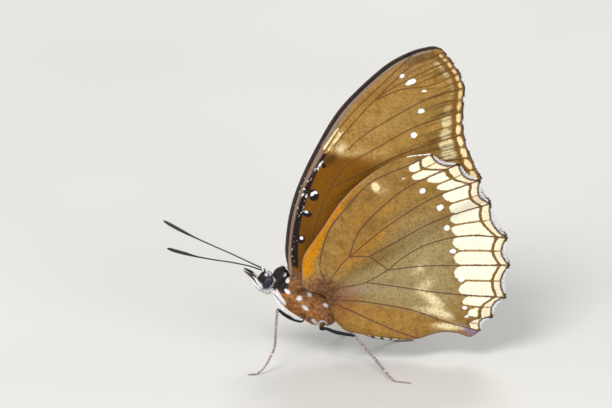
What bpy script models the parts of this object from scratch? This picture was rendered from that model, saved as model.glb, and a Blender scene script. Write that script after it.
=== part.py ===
"""Great eggfly (Hypolimnas bolina) standing with closed wings, as a still, life-size model.

The head points to -X, the left side to -Y and up is +Z. The feet stand at Z = 0.
Sizes are in millimetres, in the plane of symmetry XZ, measured from the point on the floor
under the middle of the thorax. MIDDLE_X then puts the origin under the middle of the insect.
Left is the side nearer to -Y. The right side mirrors it, apart from where the feet stand.
"""
import math

import bmesh
import bpy
from mathutils import Vector
from mathutils.geometry import delaunay_2d_cdt

MM = 0.001
GAP = 0.3
MIDDLE_X = 4.75
LEFT = -1
RIGHT = 1

# The thorax is drawn along its own axis, which falls towards the tail.
THORAX_MIDDLE = (-0.2, 9.9)
THORAX_TILT = math.radians(26)

# Sections of the thorax: along its axis, top, bottom, half width.
THORAX_SECTIONS = [
    (-4.9, 1.2, -1.2, 1.1),
    (-4.5, 2.0, -1.7, 1.6),
    (-3.4, 2.7, -2.3, 2.2),
    (-1.6, 3.0, -2.9, 2.55),
    (0.3, 3.1, -3.2, 2.65),
    (2.2, 2.9, -3.4, 2.55),
    (3.8, 2.6, -3.3, 2.3),
    (5.0, 2.2, -2.8, 1.95),
    (5.7, 1.8, -2.1, 1.55),
]

# The collar is a hump of the thorax over the neck: along and above the axis, and half sizes.
COLLAR_ALONG = -4.95
COLLAR_ABOVE = 1.95
COLLAR_LENGTH = 1.05
COLLAR_HEIGHT = 1.2
COLLAR_WIDTH = 1.45

# Sections of the head, on the same axis and in the same order of sizes.
HEAD_SECTIONS = [
    (-7.85, 0.35, -0.65, 0.4),
    (-7.65, 0.85, -1.0, 0.75),
    (-7.25, 1.25, -1.4, 1.05),
    (-6.7, 1.42, -1.6, 1.22),
    (-6.2, 1.15, -1.65, 1.27),
    (-5.8, 0.75, -1.6, 1.15),
    (-5.5, 0.6, -1.35, 0.95),
    (-4.9 - GAP, 0.55, -1.15, 0.9),
]

# The abdomen hangs less steeply. Its path starts a gap behind the thorax.
ABDOMEN_PATH = [(5.2, 7.15), (8.0, 6.0), (11.0, 5.0), (13.6, 4.6), (16.3, 4.3)]
# Sections of the abdomen: share of its length, half width, half height.
ABDOMEN_SECTIONS = [
    (0.0, 1.1, 1.0),
    (0.15, 1.45, 1.2),
    (0.355, 1.75, 1.5),
    (0.54, 1.9, 1.74),
    (0.75, 1.8, 1.72),
    (0.88, 1.45, 1.5),
    (0.96, 0.9, 1.0),
    (1.0, 0.4, 0.45),
]
ABDOMEN_SEGMENTS = 8
SEGMENT_STEP = 0.93

# Eyes: domes in round pockets at the sides of the head.
EYE_ALONG = -6.45
EYE_ABOVE = 0.0
EYE_BACK = 0.95
EYE_LENGTH = 0.8
EYE_HEIGHT = 1.15
EYE_BULGE = 0.78
POCKET_DEPTH = 2.0

# Mouth feelers: x, z, distance from the middle and half height.
PALP_PATH = [
    (-7.1, 11.8, 1.25, 0.22),
    (-7.42, 12.15, 1.22, 0.36),
    (-7.85, 12.65, 1.08, 0.48),
    (-8.25, 13.15, 0.93, 0.48),
    (-8.8, 13.65, 0.8, 0.33),
    (-9.35, 14.08, 0.68, 0.16),
    (-9.65, 14.25, 0.62, 0.08),
]
PALP_FLATNESS = 0.62

# Tongue: a flat coil between the mouth feelers.
TONGUE_MIDDLE = (-8.2, 12.95)
TONGUE_OUTER = 0.45
TONGUE_INNER = 0.12
TONGUE_TURNS = 1.1
TONGUE_START = math.radians(60)
TONGUE_RADIUS = 0.13
TONGUE_STEPS = 26

# Antenna of the left side: x, distance from the middle, z and radius.
ANTENNA_PATH = [
    (-6.9, 0.45, 14.5, 0.28),
    (-7.6, 0.57, 14.75, 0.27),
    (-8.9, 0.82, 15.28, 0.26),
    (-11.8, 1.85, 16.27, 0.25),
    (-14.6, 2.95, 17.1, 0.25),
    (-17.3, 3.95, 17.97, 0.27),
    (-19.1, 4.55, 18.67, 0.38),
    (-20.7, 5.15, 19.33, 0.42),
    (-21.7, 5.5, 19.78, 0.33),
    (-22.1, 5.65, 19.97, 0.15),
]

# Wings are plates beside the plane of symmetry.
WING_THICKNESS = 0.5
VEIN_HEIGHT = 0.16
VEIN_HALF_WIDTH = 0.42
FOREWING_Y = 0.65
HINDWING_STEP = 1.15
HINDWING_STEP_RUN = 3.4
# They bow outward to pass the thorax and a line beside the abdomen: x and z along that line,
# and at shares of its length how far the body reaches aside, and up and down.
BOW_PATH = [(5.2, 6.95), (9.3, 5.35), (13.4, 4.5), (18.2, 4.2)]
BOW_SIZES = [
    (0.0, 1.45, 1.75),
    (0.12, 1.8, 2.05),
    (0.35, 1.95, 2.15),
    (0.6, 1.85, 2.0),
    (0.8, 1.45, 1.6),
    (0.93, 0.85, 0.95),
    (1.0, 0.35, 0.4),
]
BOW_REACH = 1.5
BOW_ROOM = 0.08
# The right forewing lies a little further forward than the left one.
FAR_FOREWING_SHIFT = -0.4
FAR_SHIFT_START = 12.5
FAR_SHIFT_END = 18.0
SCALLOP_DEPTH = {"forewing": -0.2, "hindwing": 0.45}
VEIN_SPACING = 2.3
EDGE_SPACING = 1.6
FILL_SPACING = 2.6
VEIN_CLEARANCE = 1.1

# Wing outlines, as x and z: the costa from the root to the apex, where each vein reaches the
# outer margin, and the inner margin back to the root.
FOREWING_COSTA = [
    (-1.9, 12.2), (-2.6, 13.8), (-3.0, 17.5), (-2.7, 22.9), (-1.6, 28.0),
    (1.0, 34.7), (4.6, 41.5), (10.6, 48.1), (14.6, 50.75), (17.3, 51.7), (18.6, 51.85),
    (19.6, 51.5),
]
FOREWING_MARGIN = {
    "R4": (19.6, 51.5), "R5": (20.9, 50.25), "M1": (22.4, 48.15), "M2": (23.3, 45.65),
    "M3": (23.2, 41.8), "Cu1": (23.45, 37.95), "Cu2": (24.8, 34.1), "2A": (26.7, 30.6),
}
FOREWING_INNER = [(26.7, 30.6), (26.4, 29.3), (15.5, 23.0), (6.5, 17.4), (1.6, 14.2), (0.2, 12.4)]
FOREWING_VEINS = {
    "Sc": [(-1.7, 12.9), (-2.5, 16.5), (-2.4, 21.5), (-1.2, 27.6), (1.4, 33.7), (5.4, 40.5),
           (11.2, 47.0), (14.6, 50.7)],
    "R": [(-1.0, 12.9), (-1.5, 18.1), (-1.2, 23.1), (-0.1, 28.1), (1.8, 33.2), (4.6, 37.4),
          (9.2, 43.2), (13.1, 46.1), (16.9, 48.2), (20.9, 50.25)],
    "R4": [(9.2, 43.2), (12.4, 46.9), (14.9, 49.2), (19.6, 51.5)],
    "M1": [(9.2, 43.2), (13.1, 45.1), (17.8, 45.9), (22.4, 48.15)],
    "M2": [(5.5, 35.0), (7.8, 37.4), (12.8, 40.9), (17.7, 43.8), (23.3, 45.65)],
    "cell end": [(4.6, 37.4), (5.5, 35.0), (4.9, 32.1)],
    "M3": [(4.9, 32.1), (9.8, 35.3), (15.9, 39.1), (23.2, 41.8)],
    "Cu": [(-0.2, 12.9), (0.4, 19.0), (1.5, 24.5), (3.0, 28.6), (4.9, 32.1)],
    "Cu1": [(3.0, 28.6), (7.9, 31.2), (14.4, 34.7), (23.45, 37.95)],
    "Cu2": [(1.5, 24.5), (8.0, 29.0), (16.0, 32.6), (24.8, 34.1)],
    "2A": [(0.2, 13.4), (3.5, 17.5), (10.0, 22.0), (18.0, 27.2), (26.7, 30.6)],
}

HINDWING_COSTA = [
    (2.6, 11.7), (1.38, 12.24), (0.1, 12.64), (-0.61, 13.36), (-0.86, 14.35), (-0.88, 15.48),
    (-0.84, 16.67), (-0.4, 18.2), (1.7, 21.6), (4.9, 27.0), (9.0, 31.3), (13.6, 34.1),
    (18.2, 35.0),
]
HINDWING_MARGIN = {
    "Sc": (18.2, 35.0), "Rs": (22.8, 33.6), "M1": (26.3, 30.9), "M2": (28.2, 26.5),
    "M3": (31.1, 20.8), "Cu1": (31.7, 16.2), "Cu2": (31.4, 10.7), "1A": (29.4, 7.2),
    "2A": (27.6, 4.9),
}
HINDWING_INNER = [
    (27.6, 4.9), (25.9, 4.0), (23.8, 4.6), (21.4, 4.7), (18.1, 3.9), (14.9, 4.13),
    (11.7, 4.53), (8.9, 4.95), (6.7, 5.27), (5.8, 5.8), (5.1, 6.55), (4.5, 7.7),
    (4.0, 9.0), (3.4, 10.5),
]
HINDWING_VEINS = {
    "Sc": [(2.9, 12.1), (2.8, 13.3), (2.5, 14.5), (1.85, 16.4), (3.0, 21.8), (5.5, 25.6),
           (9.2, 30.1), (15.1, 33.1), (18.2, 35.0)],
    "R": [(3.2, 12.5), (3.55, 13.8), (4.9, 15.8), (6.4, 17.5), (9.4, 17.6), (11.0, 16.3),
          (12.6, 15.0)],
    "Rs": [(6.4, 17.5), (7.6, 21.6), (11.0, 25.9), (15.3, 29.6), (22.8, 33.6)],
    "M1": [(6.4, 17.5), (11.6, 22.4), (18.8, 27.6), (26.3, 30.9)],
    "M2": [(9.4, 17.6), (14.2, 20.6), (19.9, 23.9), (28.2, 26.5)],
    "M3": [(12.6, 15.0), (15.3, 17.5), (19.2, 19.7), (24.8, 21.0), (31.1, 20.8)],
    "Cu1": [(12.6, 15.0), (18.4, 15.8), (31.7, 16.2)],
    "Cu": [(3.5, 12.0), (6.5, 12.4), (9.3, 12.9), (12.6, 15.0)],
    "Cu2": [(9.3, 12.9), (14.0, 12.3), (19.6, 11.5), (25.5, 11.0), (31.4, 10.7)],
    "2A": [(3.7, 11.1), (5.3, 10.4), (9.7, 9.7), (16.3, 8.5), (22.0, 6.5), (27.6, 4.9)],
    "3A": [(3.9, 10.3), (5.3, 9.5), (7.3, 8.45), (12.2, 6.3), (18.1, 3.9)],
}

# Legs. A root sits on the thorax at a distance along its axis and an angle up from its keel.
# The other points are x, distance from the middle, z and radius, from the root to the claws.
COXA_RADIUS = 0.42
COXA_LENGTH = 0.5
ROOT_GAP = 0.42
FORELEG_ROOT = (-1.8, 50)
FORELEG_PATH = [
    (-3.4, 2.75, 8.75, 0.33), (-4.0, 2.42, 9.5, 0.33), (-5.05, 1.95, 10.85, 0.28),
    (-5.25, 2.05, 11.4, 0.25), (-4.95, 2.45, 11.65, 0.25), (-4.2, 2.72, 10.95, 0.29),
    (-3.5, 2.8, 10.15, 0.25), (-3.2, 2.8, 9.7, 0.12),
]
MIDLEG_ROOT = (0.9, 50)
HINDLEG_ROOT = (4.4, 48)
NEAR_MIDLEG_PATH = [
    (-1.2, 3.0, 7.2, 0.42), (-2.2, 3.4, 7.7, 0.46), (-3.3, 3.95, 8.5, 0.42),
    (-4.45, 4.55, 9.55, 0.34), (-4.6, 4.85, 9.0, 0.3), (-4.75, 5.7, 6.7, 0.27),
    (-4.85, 6.5, 4.3, 0.27), (-5.3, 6.9, 3.1, 0.27), (-6.0, 7.35, 1.7, 0.26),
    (-6.7, 7.65, 0.8, 0.25), (-7.5, 7.85, 0.18, 0.26), (-8.3, 8.0, 0.17, 0.26),
    (-8.7, 8.05, 0.13, 0.2),
]
NEAR_HINDLEG_PATH = [
    (3.4, 2.95, 5.85, 0.4), (4.6, 3.6, 5.65, 0.44), (6.1, 4.4, 5.66, 0.4),
    (7.5, 5.0, 5.65, 0.34), (8.0, 5.35, 5.3, 0.3), (9.5, 6.5, 3.95, 0.27),
    (11.3, 8.2, 2.4, 0.27), (12.2, 8.9, 1.45, 0.27), (13.1, 9.4, 0.65, 0.26),
    (13.9, 9.75, 0.18, 0.26), (14.9, 10.05, 0.17, 0.26), (15.7, 10.25, 0.17, 0.26),
    (16.1, 10.3, 0.13, 0.2),
]
FAR_MIDLEG_PATH = [
    (1.0, 3.3, 6.7, 0.42), (2.9, 4.2, 7.1, 0.46), (4.2, 5.3, 8.1, 0.36),
    (4.6, 5.7, 8.3, 0.34), (4.8, 6.0, 7.8, 0.3), (5.5, 7.1, 5.6, 0.27),
    (6.2, 8.3, 3.5, 0.27), (6.6, 8.8, 2.3, 0.27), (7.1, 9.3, 1.15, 0.26),
    (7.7, 9.7, 0.4, 0.25), (8.4, 10.0, 0.17, 0.26), (9.1, 10.2, 0.17, 0.26),
    (9.5, 10.3, 0.13, 0.2),
]
FAR_HINDLEG_PATH = [
    (4.2, 3.0, 5.6, 0.4), (6.3, 3.9, 5.95, 0.46), (8.6, 4.8, 6.6, 0.36),
    (9.1, 5.0, 6.6, 0.34), (9.6, 5.1, 6.2, 0.3), (11.0, 5.6, 4.5, 0.27),
    (12.5, 6.0, 2.7, 0.27), (13.2, 6.2, 1.7, 0.27), (14.1, 6.4, 0.7, 0.26),
    (15.0, 6.6, 0.18, 0.26), (16.2, 6.8, 0.17, 0.26), (17.2, 7.0, 0.17, 0.26),
    (17.6, 7.05, 0.13, 0.2),
]

# Colours, roughness.
FUR_BROWN = ((0.17, 0.08, 0.03), 0.85)
HEAD_BROWN = ((0.06, 0.04, 0.03), 0.8)
EYE_DARK = ((0.02, 0.02, 0.03), 0.15)
ANTENNA_BLACK = ((0.02, 0.02, 0.02), 0.55)
ABDOMEN_BROWN = ((0.05, 0.03, 0.02), 0.8)
LEG_PINK = ((0.30, 0.22, 0.20), 0.6)
FOREWING_TAN = ((0.30, 0.19, 0.06), 0.75)
HINDWING_OLIVE = ((0.28, 0.18, 0.05), 0.75)
TONGUE_BROWN = ((0.10, 0.05, 0.02), 0.5)
FORELEG_WHITE = ((0.6, 0.58, 0.52), 0.8)


def clear_scene():
    for old in list(bpy.data.objects):
        bpy.data.objects.remove(old, do_unlink=True)


def smooth_curve(points, spacing):
    """Catmull-Rom curve through the points, which stay on it, with steps of about spacing."""
    points = [Vector(point) for point in points]
    before = points[0] * 2 - points[1]
    after = points[-1] * 2 - points[-2]
    padded = [before] + points + [after]
    curve = [points[0]]
    for p0, p1, p2, p3 in zip(padded, padded[1:], padded[2:], padded[3:]):
        steps = max(1, round((p2 - p1).length / spacing))
        for step in range(1, steps + 1):
            t = step / steps
            a = 2 * p1
            b = p2 - p0
            c = 2 * p0 - 5 * p1 + 4 * p2 - p3
            d = 3 * p1 - p0 - 3 * p2 + p3
            curve.append((a + b * t + c * t * t + d * t ** 3) * 0.5)
    return curve


def on_thorax(along, above, side=0.0):
    """A point given along and above the thorax's axis."""
    x = THORAX_MIDDLE[0] + along * math.cos(THORAX_TILT) + above * math.sin(THORAX_TILT)
    z = THORAX_MIDDLE[1] - along * math.sin(THORAX_TILT) + above * math.cos(THORAX_TILT)
    return Vector((x, side, z))


def sizes_at(sections, key):
    """The sizes of a list of sections at one value of their first number."""
    for low, high in zip(sections, sections[1:]):
        if low[0] <= key <= high[0]:
            t = (key - low[0]) / (high[0] - low[0])
            return [a + (b - a) * t for a, b in zip(low[1:], high[1:])]
    return list(sections[-1][1:])


def material(name, look):
    colour, roughness = look
    made = bpy.data.materials.new(name)
    made.use_nodes = True
    shader = made.node_tree.nodes["Principled BSDF"]
    shader.inputs["Base Color"].default_value = (*colour, 1.0)
    shader.inputs["Roughness"].default_value = roughness
    shader.inputs["Metallic"].default_value = 0.0
    return made


def add_node(name, look, vertices, faces):
    """One named solid from millimetre points, moved into the insect's own frame."""
    mesh = bpy.data.meshes.new(name)
    placed = [((v[0] - MIDDLE_X) * MM, v[1] * MM, v[2] * MM) for v in vertices]
    mesh.from_pydata(placed, [], faces)
    shape = bmesh.new()
    shape.from_mesh(mesh)
    bmesh.ops.recalc_face_normals(shape, faces=shape.faces)
    shape.to_mesh(mesh)
    shape.free()
    mesh.shade_smooth()
    mesh.set_sharp_from_angle(angle=math.radians(40))
    mesh.materials.append(material(name, look))
    node = bpy.data.objects.new(name, mesh)
    bpy.context.collection.objects.link(node)
    return node


def loft(rings):
    """Vertices and faces of a closed body through rings of equal count, with flat ends."""
    sides = len(rings[0])
    vertices = [point for ring in rings for point in ring]
    faces = [list(range(sides))[::-1]]
    for row in range(len(rings) - 1):
        for side in range(sides):
            after = (side + 1) % sides
            low = row * sides
            high = low + sides
            faces.append([low + side, low + after, high + after, high + side])
    last = (len(rings) - 1) * sides
    faces.append([last + side for side in range(sides)])
    return vertices, faces


def oval(middle, across, upward, half_width, half_height, sides):
    ring = []
    for side in range(sides):
        angle = 2 * math.pi * side / sides
        offset = across * (half_width * math.cos(angle)) + upward * (half_height * math.sin(angle))
        ring.append(middle + offset)
    return ring


def axis_body(sections, spacing, sides):
    """A body on the thorax's axis from sections of along, top, bottom and half width."""
    across = Vector((0, 1, 0))
    upward = on_thorax(0, 1) - on_thorax(0, 0)
    rings = []
    for along, top, bottom, half_width in smooth_curve(sections, spacing):
        middle = on_thorax(along, (top + bottom) / 2)
        rings.append(oval(middle, across, upward, half_width, (top - bottom) / 2, sides))
    return loft(rings)


def tube(path, sides, on_floor=False):
    """A closed tube of changing radius along x, y, z, radius points."""
    points = [Vector(point[:3]) for point in path]
    rings = []
    across = None
    last = None
    for index, point in enumerate(points):
        before = points[max(index - 1, 0)]
        after = points[min(index + 1, len(points) - 1)]
        ahead = (after - before).normalized()
        if across is None:
            across = ahead.cross(Vector((0, 0, 1))).normalized()
        else:
            across = last.rotation_difference(ahead) @ across
        last = ahead
        upward = across.cross(ahead)
        radius = path[index][3]
        ring = oval(point, across, upward, radius, radius, sides)
        if on_floor:
            ring = [Vector((v.x, v.y, max(v.z, 0.0))) for v in ring]
        rings.append(ring)
    return loft(rings)


def combine(node, other, operation):
    """Joins the other solid to the node or subtracts it, and removes the other."""
    change = node.modifiers.new("combine", "BOOLEAN")
    change.operation = operation
    change.object = other
    graph = bpy.context.evaluated_depsgraph_get()
    changed = bpy.data.meshes.new_from_object(node.evaluated_get(graph))
    node.modifiers.clear()
    node.data = changed
    bpy.data.objects.remove(other, do_unlink=True)
    node.data.shade_smooth()
    node.data.set_sharp_from_angle(angle=math.radians(40))


def make_thorax():
    thorax = add_node("thorax", FUR_BROWN, *axis_body(THORAX_SECTIONS, 0.9, 22))
    sections = []
    for degrees in range(15, 180, 25):
        angle = math.radians(degrees)
        rise = COLLAR_HEIGHT * math.sin(angle)
        along = COLLAR_ALONG - COLLAR_LENGTH * math.cos(angle)
        half_width = COLLAR_WIDTH * math.sin(angle)
        sections.append((along, COLLAR_ABOVE + rise, COLLAR_ABOVE - rise, half_width))
    collar = add_node("collar", FUR_BROWN, *axis_body(sections, 0.5, 16))
    combine(thorax, collar, "UNION")


def eye_frame(side):
    middle = on_thorax(EYE_ALONG, EYE_ABOVE)
    return Vector((middle.x, side * EYE_BACK, middle.z))


def make_head():
    head = add_node("head", HEAD_BROWN, *axis_body(HEAD_SECTIONS, 0.42, 20))
    for side in (LEFT, RIGHT):
        floor = eye_frame(side) - Vector((0, side * GAP, 0))
        outside = floor + Vector((0, side * POCKET_DEPTH, 0))
        rings = []
        for middle in (floor, outside):
            rings.append(oval(middle, Vector((1, 0, 0)), Vector((0, 0, 1)),
                              EYE_LENGTH + GAP, EYE_HEIGHT + GAP, 20))
        pocket = add_node("pocket", HEAD_BROWN, *loft(rings))
        combine(head, pocket, "DIFFERENCE")


def make_eye(name, side):
    """A dome with a flat back towards the head."""
    back = eye_frame(side)
    rings = []
    for step in range(6):
        rise = math.radians(step * 16)
        middle = back + Vector((0, side * EYE_BULGE * math.sin(rise), 0))
        rings.append(oval(middle, Vector((1, 0, 0)), Vector((0, 0, 1)),
                          EYE_LENGTH * math.cos(rise), EYE_HEIGHT * math.cos(rise), 20))
    add_node(name, EYE_DARK, *loft(rings))


def make_palp(name, side):
    """A flattened, tapering feeler that curves up in front of the face."""
    path = smooth_curve(PALP_PATH, 0.4)
    points = [Vector((x, side * out, z)) for x, z, out, _ in path]
    across = Vector((0, 1, 0))
    rings = []
    for index, middle in enumerate(points):
        ahead = points[min(index + 1, len(points) - 1)] - points[max(index - 1, 0)]
        upward = across.cross(ahead.normalized()).normalized()
        half_height = path[index][3]
        half_width = half_height * PALP_FLATNESS
        rings.append(oval(middle, across, upward, half_width, half_height, 10))
    add_node(name, HEAD_BROWN, *loft(rings))


def make_tongue():
    path = []
    for step in range(TONGUE_STEPS + 1):
        t = step / TONGUE_STEPS
        radius = TONGUE_OUTER + (TONGUE_INNER - TONGUE_OUTER) * t
        angle = TONGUE_START + 2 * math.pi * TONGUE_TURNS * t
        x = TONGUE_MIDDLE[0] + radius * math.cos(angle)
        z = TONGUE_MIDDLE[1] + radius * math.sin(angle)
        path.append((x, 0.0, z, TONGUE_RADIUS))
    add_node("proboscis", TONGUE_BROWN, *tube(path, 8))


def make_antenna(name, side):
    path = [(x, side * out, z, radius) for x, out, z, radius in smooth_curve(ANTENNA_PATH, 0.9)]
    add_node(name, ANTENNA_BLACK, *tube(path, 8))


def make_abdomen():
    """Rings that overlap like plates: each starts a little narrower than the last one ended."""
    curve = smooth_curve(ABDOMEN_PATH, 0.4)
    lengths = [0.0]
    for here, there in zip(curve, curve[1:]):
        lengths.append(lengths[-1] + (there - here).length)
    shares = [0.0]
    scales = [1.0]
    for segment in range(1, ABDOMEN_SEGMENTS):
        edge = segment / ABDOMEN_SEGMENTS
        shares += [edge - 0.04, edge, edge + 0.006]
        scales += [1.0, 1.02, SEGMENT_STEP]
    shares += [0.95, 0.985, 1.0]
    scales += [1.0, 1.0, 0.8]
    rings = []
    for share, scale in zip(shares, scales):
        wanted = share * lengths[-1]
        index = max(i for i, length in enumerate(lengths) if length <= wanted + 1e-9)
        index = min(index, len(curve) - 2)
        t = (wanted - lengths[index]) / (lengths[index + 1] - lengths[index])
        point = curve[index].lerp(curve[index + 1], t)
        ahead = (curve[index + 1] - curve[index]).normalized()
        half_width, half_height = sizes_at(ABDOMEN_SECTIONS, share)
        middle = Vector((point[0], 0, point[1]))
        upward = Vector((-ahead[1], 0, ahead[0]))
        rings.append(oval(middle, Vector((0, 1, 0)), upward,
                          half_width * scale, half_height * scale, 18))
    add_node("abdomen", ABDOMEN_BROWN, *loft(rings))


def bow_samples():
    """Middles and half sizes of the body, which the wings bow outward to pass."""
    samples = []
    for along, top, bottom, half_width in smooth_curve(THORAX_SECTIONS, 0.5):
        middle = on_thorax(along, (top + bottom) / 2)
        samples.append((middle.x, middle.z, half_width, (top - bottom) / 2))
    curve = smooth_curve(BOW_PATH, 0.5)
    for index, point in enumerate(curve):
        half_width, half_height = sizes_at(BOW_SIZES, index / (len(curve) - 1))
        samples.append((point[0], point[1], half_width, half_height))
    return samples


BOWS = bow_samples()


def bow_at(x, z):
    """How far a wing stands out to clear the body at this place."""
    widest = 0.0
    for middle_x, middle_z, half_width, half_height in BOWS:
        distance = math.hypot(x - middle_x, z - middle_z)
        fall = math.exp(-(distance / (BOW_REACH * half_height)) ** 2)
        widest = max(widest, (half_width + BOW_ROOM) * fall)
    return widest


def ease(t):
    t = min(max(t, 0.0), 1.0)
    return t * t * (3 - 2 * t)


def far_shift(z):
    """How far the right forewing stands forward of the left one at this height."""
    return FAR_FOREWING_SHIFT * ease((z - FAR_SHIFT_START) / (FAR_SHIFT_END - FAR_SHIFT_START))


def forewing_y(x, z):
    return FOREWING_Y + bow_at(x, z)


def hindwing_y(x, z):
    """The hindwing lies on the forewing's outer side and eases inward below its inner margin."""
    near = Vector(FOREWING_INNER[-1])
    ahead = (Vector(FOREWING_INNER[1]) - near).normalized()
    rise = (Vector((x, z)) - near).dot(Vector((-ahead.y, ahead.x)))
    cover = ease((rise + HINDWING_STEP_RUN) / HINDWING_STEP_RUN)
    return FOREWING_Y + HINDWING_STEP * cover + bow_at(x, z)


def wing_outline(costa, margin, inner, scallop):
    """Closed outline of a wing, with a scallop between each two veins that reach the margin."""
    outline = smooth_curve(costa, EDGE_SPACING)[:-1]
    ends = [Vector(end) for end in margin.values()]
    for here, there in zip(ends, ends[1:]):
        chord = there - here
        inward = Vector((chord.y, -chord.x)).normalized()
        steps = max(2, round(chord.length / EDGE_SPACING))
        for step in range(steps):
            t = step / steps
            outline.append(here + chord * t + inward * (scallop * math.sin(math.pi * t)))
    outline += smooth_curve(inner, EDGE_SPACING)
    return outline


def distance_to_line(point, line):
    nearest = 1e9
    for here, there in zip(line, line[1:]):
        chord = there - here
        t = min(max((point - here).dot(chord) / chord.length_squared, 0.0), 1.0)
        nearest = min(nearest, (point - here - chord * t).length)
    return nearest


def is_inside(point, outline):
    inside = False
    for here, there in zip(outline, outline[1:] + outline[:1]):
        if (here.y > point.y) != (there.y > point.y):
            crossing = here.x + (point.y - here.y) / (there.y - here.y) * (there.x - here.x)
            if point.x < crossing:
                inside = not inside
    return inside


def beside(line, distance):
    """Points on both sides of a line at a distance."""
    points = []
    for index, here in enumerate(line):
        ahead = line[min(index + 1, len(line) - 1)] - line[max(index - 1, 0)]
        across = Vector((-ahead.y, ahead.x)).normalized() * distance
        points += [here + across, here - across]
    return points


def wing_triangles(outline, veins):
    """A flat triangulation with the outline and the crest of each vein among its edges."""
    points = []
    edges = []
    places = {}

    def index_of(point):
        key = (round(point.x, 4), round(point.y, 4))
        if key not in places:
            places[key] = len(points)
            points.append(point)
        return places[key]

    closed = outline + outline[:1]
    for line in [closed] + veins:
        indices = [index_of(point) for point in line]
        edges += [pair for pair in zip(indices, indices[1:]) if pair[0] != pair[1]]
    lines = [closed] + veins
    for line in veins + [closed]:
        for point in beside(line, VEIN_HALF_WIDTH):
            clear = min(distance_to_line(point, other) for other in lines)
            if clear > 0.85 * VEIN_HALF_WIDTH and is_inside(point, outline):
                crowded = any((point - other).length < 0.6 * VEIN_HALF_WIDTH for other in points)
                if not crowded:
                    index_of(point)
    for point in fill_points(outline):
        clear = min(distance_to_line(point, other) for other in lines)
        if clear > VEIN_CLEARANCE and is_inside(point, outline):
            index_of(point)
    flat, _, triangles, *_ = delaunay_2d_cdt(points, edges, [], 0, 1e-5)
    kept = []
    for triangle in triangles:
        a, b, c = (flat[index] for index in triangle)
        if abs((b - a).cross(c - a)) > 1e-4 and is_inside((a + b + c) / 3, outline):
            kept.append(triangle)
    return flat, kept


def fill_points(outline):
    """Points in staggered rows over the box of an outline."""
    low_x = min(point.x for point in outline)
    high_x = max(point.x for point in outline)
    low_z = min(point.y for point in outline)
    high_z = max(point.y for point in outline)
    points = []
    rows = int((high_z - low_z) / (FILL_SPACING * 0.87))
    columns = int((high_x - low_x) / FILL_SPACING)
    for row in range(rows + 1):
        for column in range(columns + 1):
            x = low_x + (column + 0.5 * (row % 2)) * FILL_SPACING
            points.append(Vector((x, low_z + row * FILL_SPACING * 0.87)))
    return points


def make_wing(name, side, kind, look):
    """A thin closed plate, ridged along its veins, alike on both faces."""
    if kind == "forewing":
        costa, margin, inner = FOREWING_COSTA, FOREWING_MARGIN, FOREWING_INNER
        vein_table, middle_y = FOREWING_VEINS, forewing_y
    else:
        costa, margin, inner = HINDWING_COSTA, HINDWING_MARGIN, HINDWING_INNER
        vein_table, middle_y = HINDWING_VEINS, hindwing_y
    outline = wing_outline(costa, margin, inner, SCALLOP_DEPTH[kind])
    veins = [smooth_curve(line, VEIN_SPACING) for line in vein_table.values()]
    flat, triangles = wing_triangles(outline, veins)
    ridged = veins + [smooth_curve(costa, EDGE_SPACING)]
    outer = []
    inner_face = []
    for point in flat:
        distance = min(distance_to_line(point, line) for line in ridged)
        ridge = VEIN_HEIGHT * max(0.0, 1.0 - distance / VEIN_HALF_WIDTH)
        half = WING_THICKNESS / 2 + ridge
        y = middle_y(point.x, point.y)
        x = point.x
        if name == "forewing_right":
            x += far_shift(point.y)
        outer.append((x, side * (y + half), point.y))
        inner_face.append((x, side * (y - half), point.y))
    count = len(flat)
    faces = [list(triangle) for triangle in triangles]
    faces += [[index + count for index in reversed(triangle)] for triangle in triangles]
    uses = {}
    for triangle in triangles:
        for here, there in zip(triangle, triangle[1:] + triangle[:1]):
            uses.setdefault(frozenset((here, there)), []).append((here, there))
    for pairs in uses.values():
        if len(pairs) == 1:
            here, there = pairs[0]
            faces.append([there, here, here + count, there + count])
    add_node(name, look, outer + inner_face, faces)


def leg_root(root, side):
    """The start of a coxa, off the thorax, and the direction that it leaves in."""
    along, angle = root
    angle = math.radians(angle)
    top, bottom, half_width = sizes_at(THORAX_SECTIONS, along)
    half_height = (top - bottom) / 2
    above = (top + bottom) / 2 - half_height * math.cos(angle)
    surface = on_thorax(along, above, side * half_width * math.sin(angle))
    upward = on_thorax(0, 1) - on_thorax(0, 0)
    outward = Vector((0, side * math.sin(angle) / half_width, 0))
    outward -= upward * (math.cos(angle) / half_height)
    outward.normalize()
    return surface + outward * ROOT_GAP, outward


def make_leg(name, side, root, path, look):
    start, outward = leg_root(root, side)
    hip = start + outward * COXA_LENGTH
    whole = [(*start, COXA_RADIUS), (*hip, COXA_RADIUS)]
    whole += [(x, side * out, z, radius) for x, out, z, radius in path]
    add_node(name, look, *tube(whole, 8, on_floor=True))


def build():
    clear_scene()
    make_thorax()
    make_abdomen()
    make_head()
    make_tongue()
    for side, word in ((LEFT, "left"), (RIGHT, "right")):
        make_eye("eye_" + word, side)
        make_palp("palp_" + word, side)
        make_antenna("antenna_" + word, side)
        make_wing("forewing_" + word, side, "forewing", FOREWING_TAN)
        make_wing("hindwing_" + word, side, "hindwing", HINDWING_OLIVE)
        make_leg("foreleg_" + word, side, FORELEG_ROOT, FORELEG_PATH, FORELEG_WHITE)
    make_leg("midleg_left", LEFT, MIDLEG_ROOT, NEAR_MIDLEG_PATH, LEG_PINK)
    make_leg("hindleg_left", LEFT, HINDLEG_ROOT, NEAR_HINDLEG_PATH, LEG_PINK)
    make_leg("midleg_right", RIGHT, MIDLEG_ROOT, FAR_MIDLEG_PATH, LEG_PINK)
    make_leg("hindleg_right", RIGHT, HINDLEG_ROOT, FAR_HINDLEG_PATH, LEG_PINK)


build()
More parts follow.
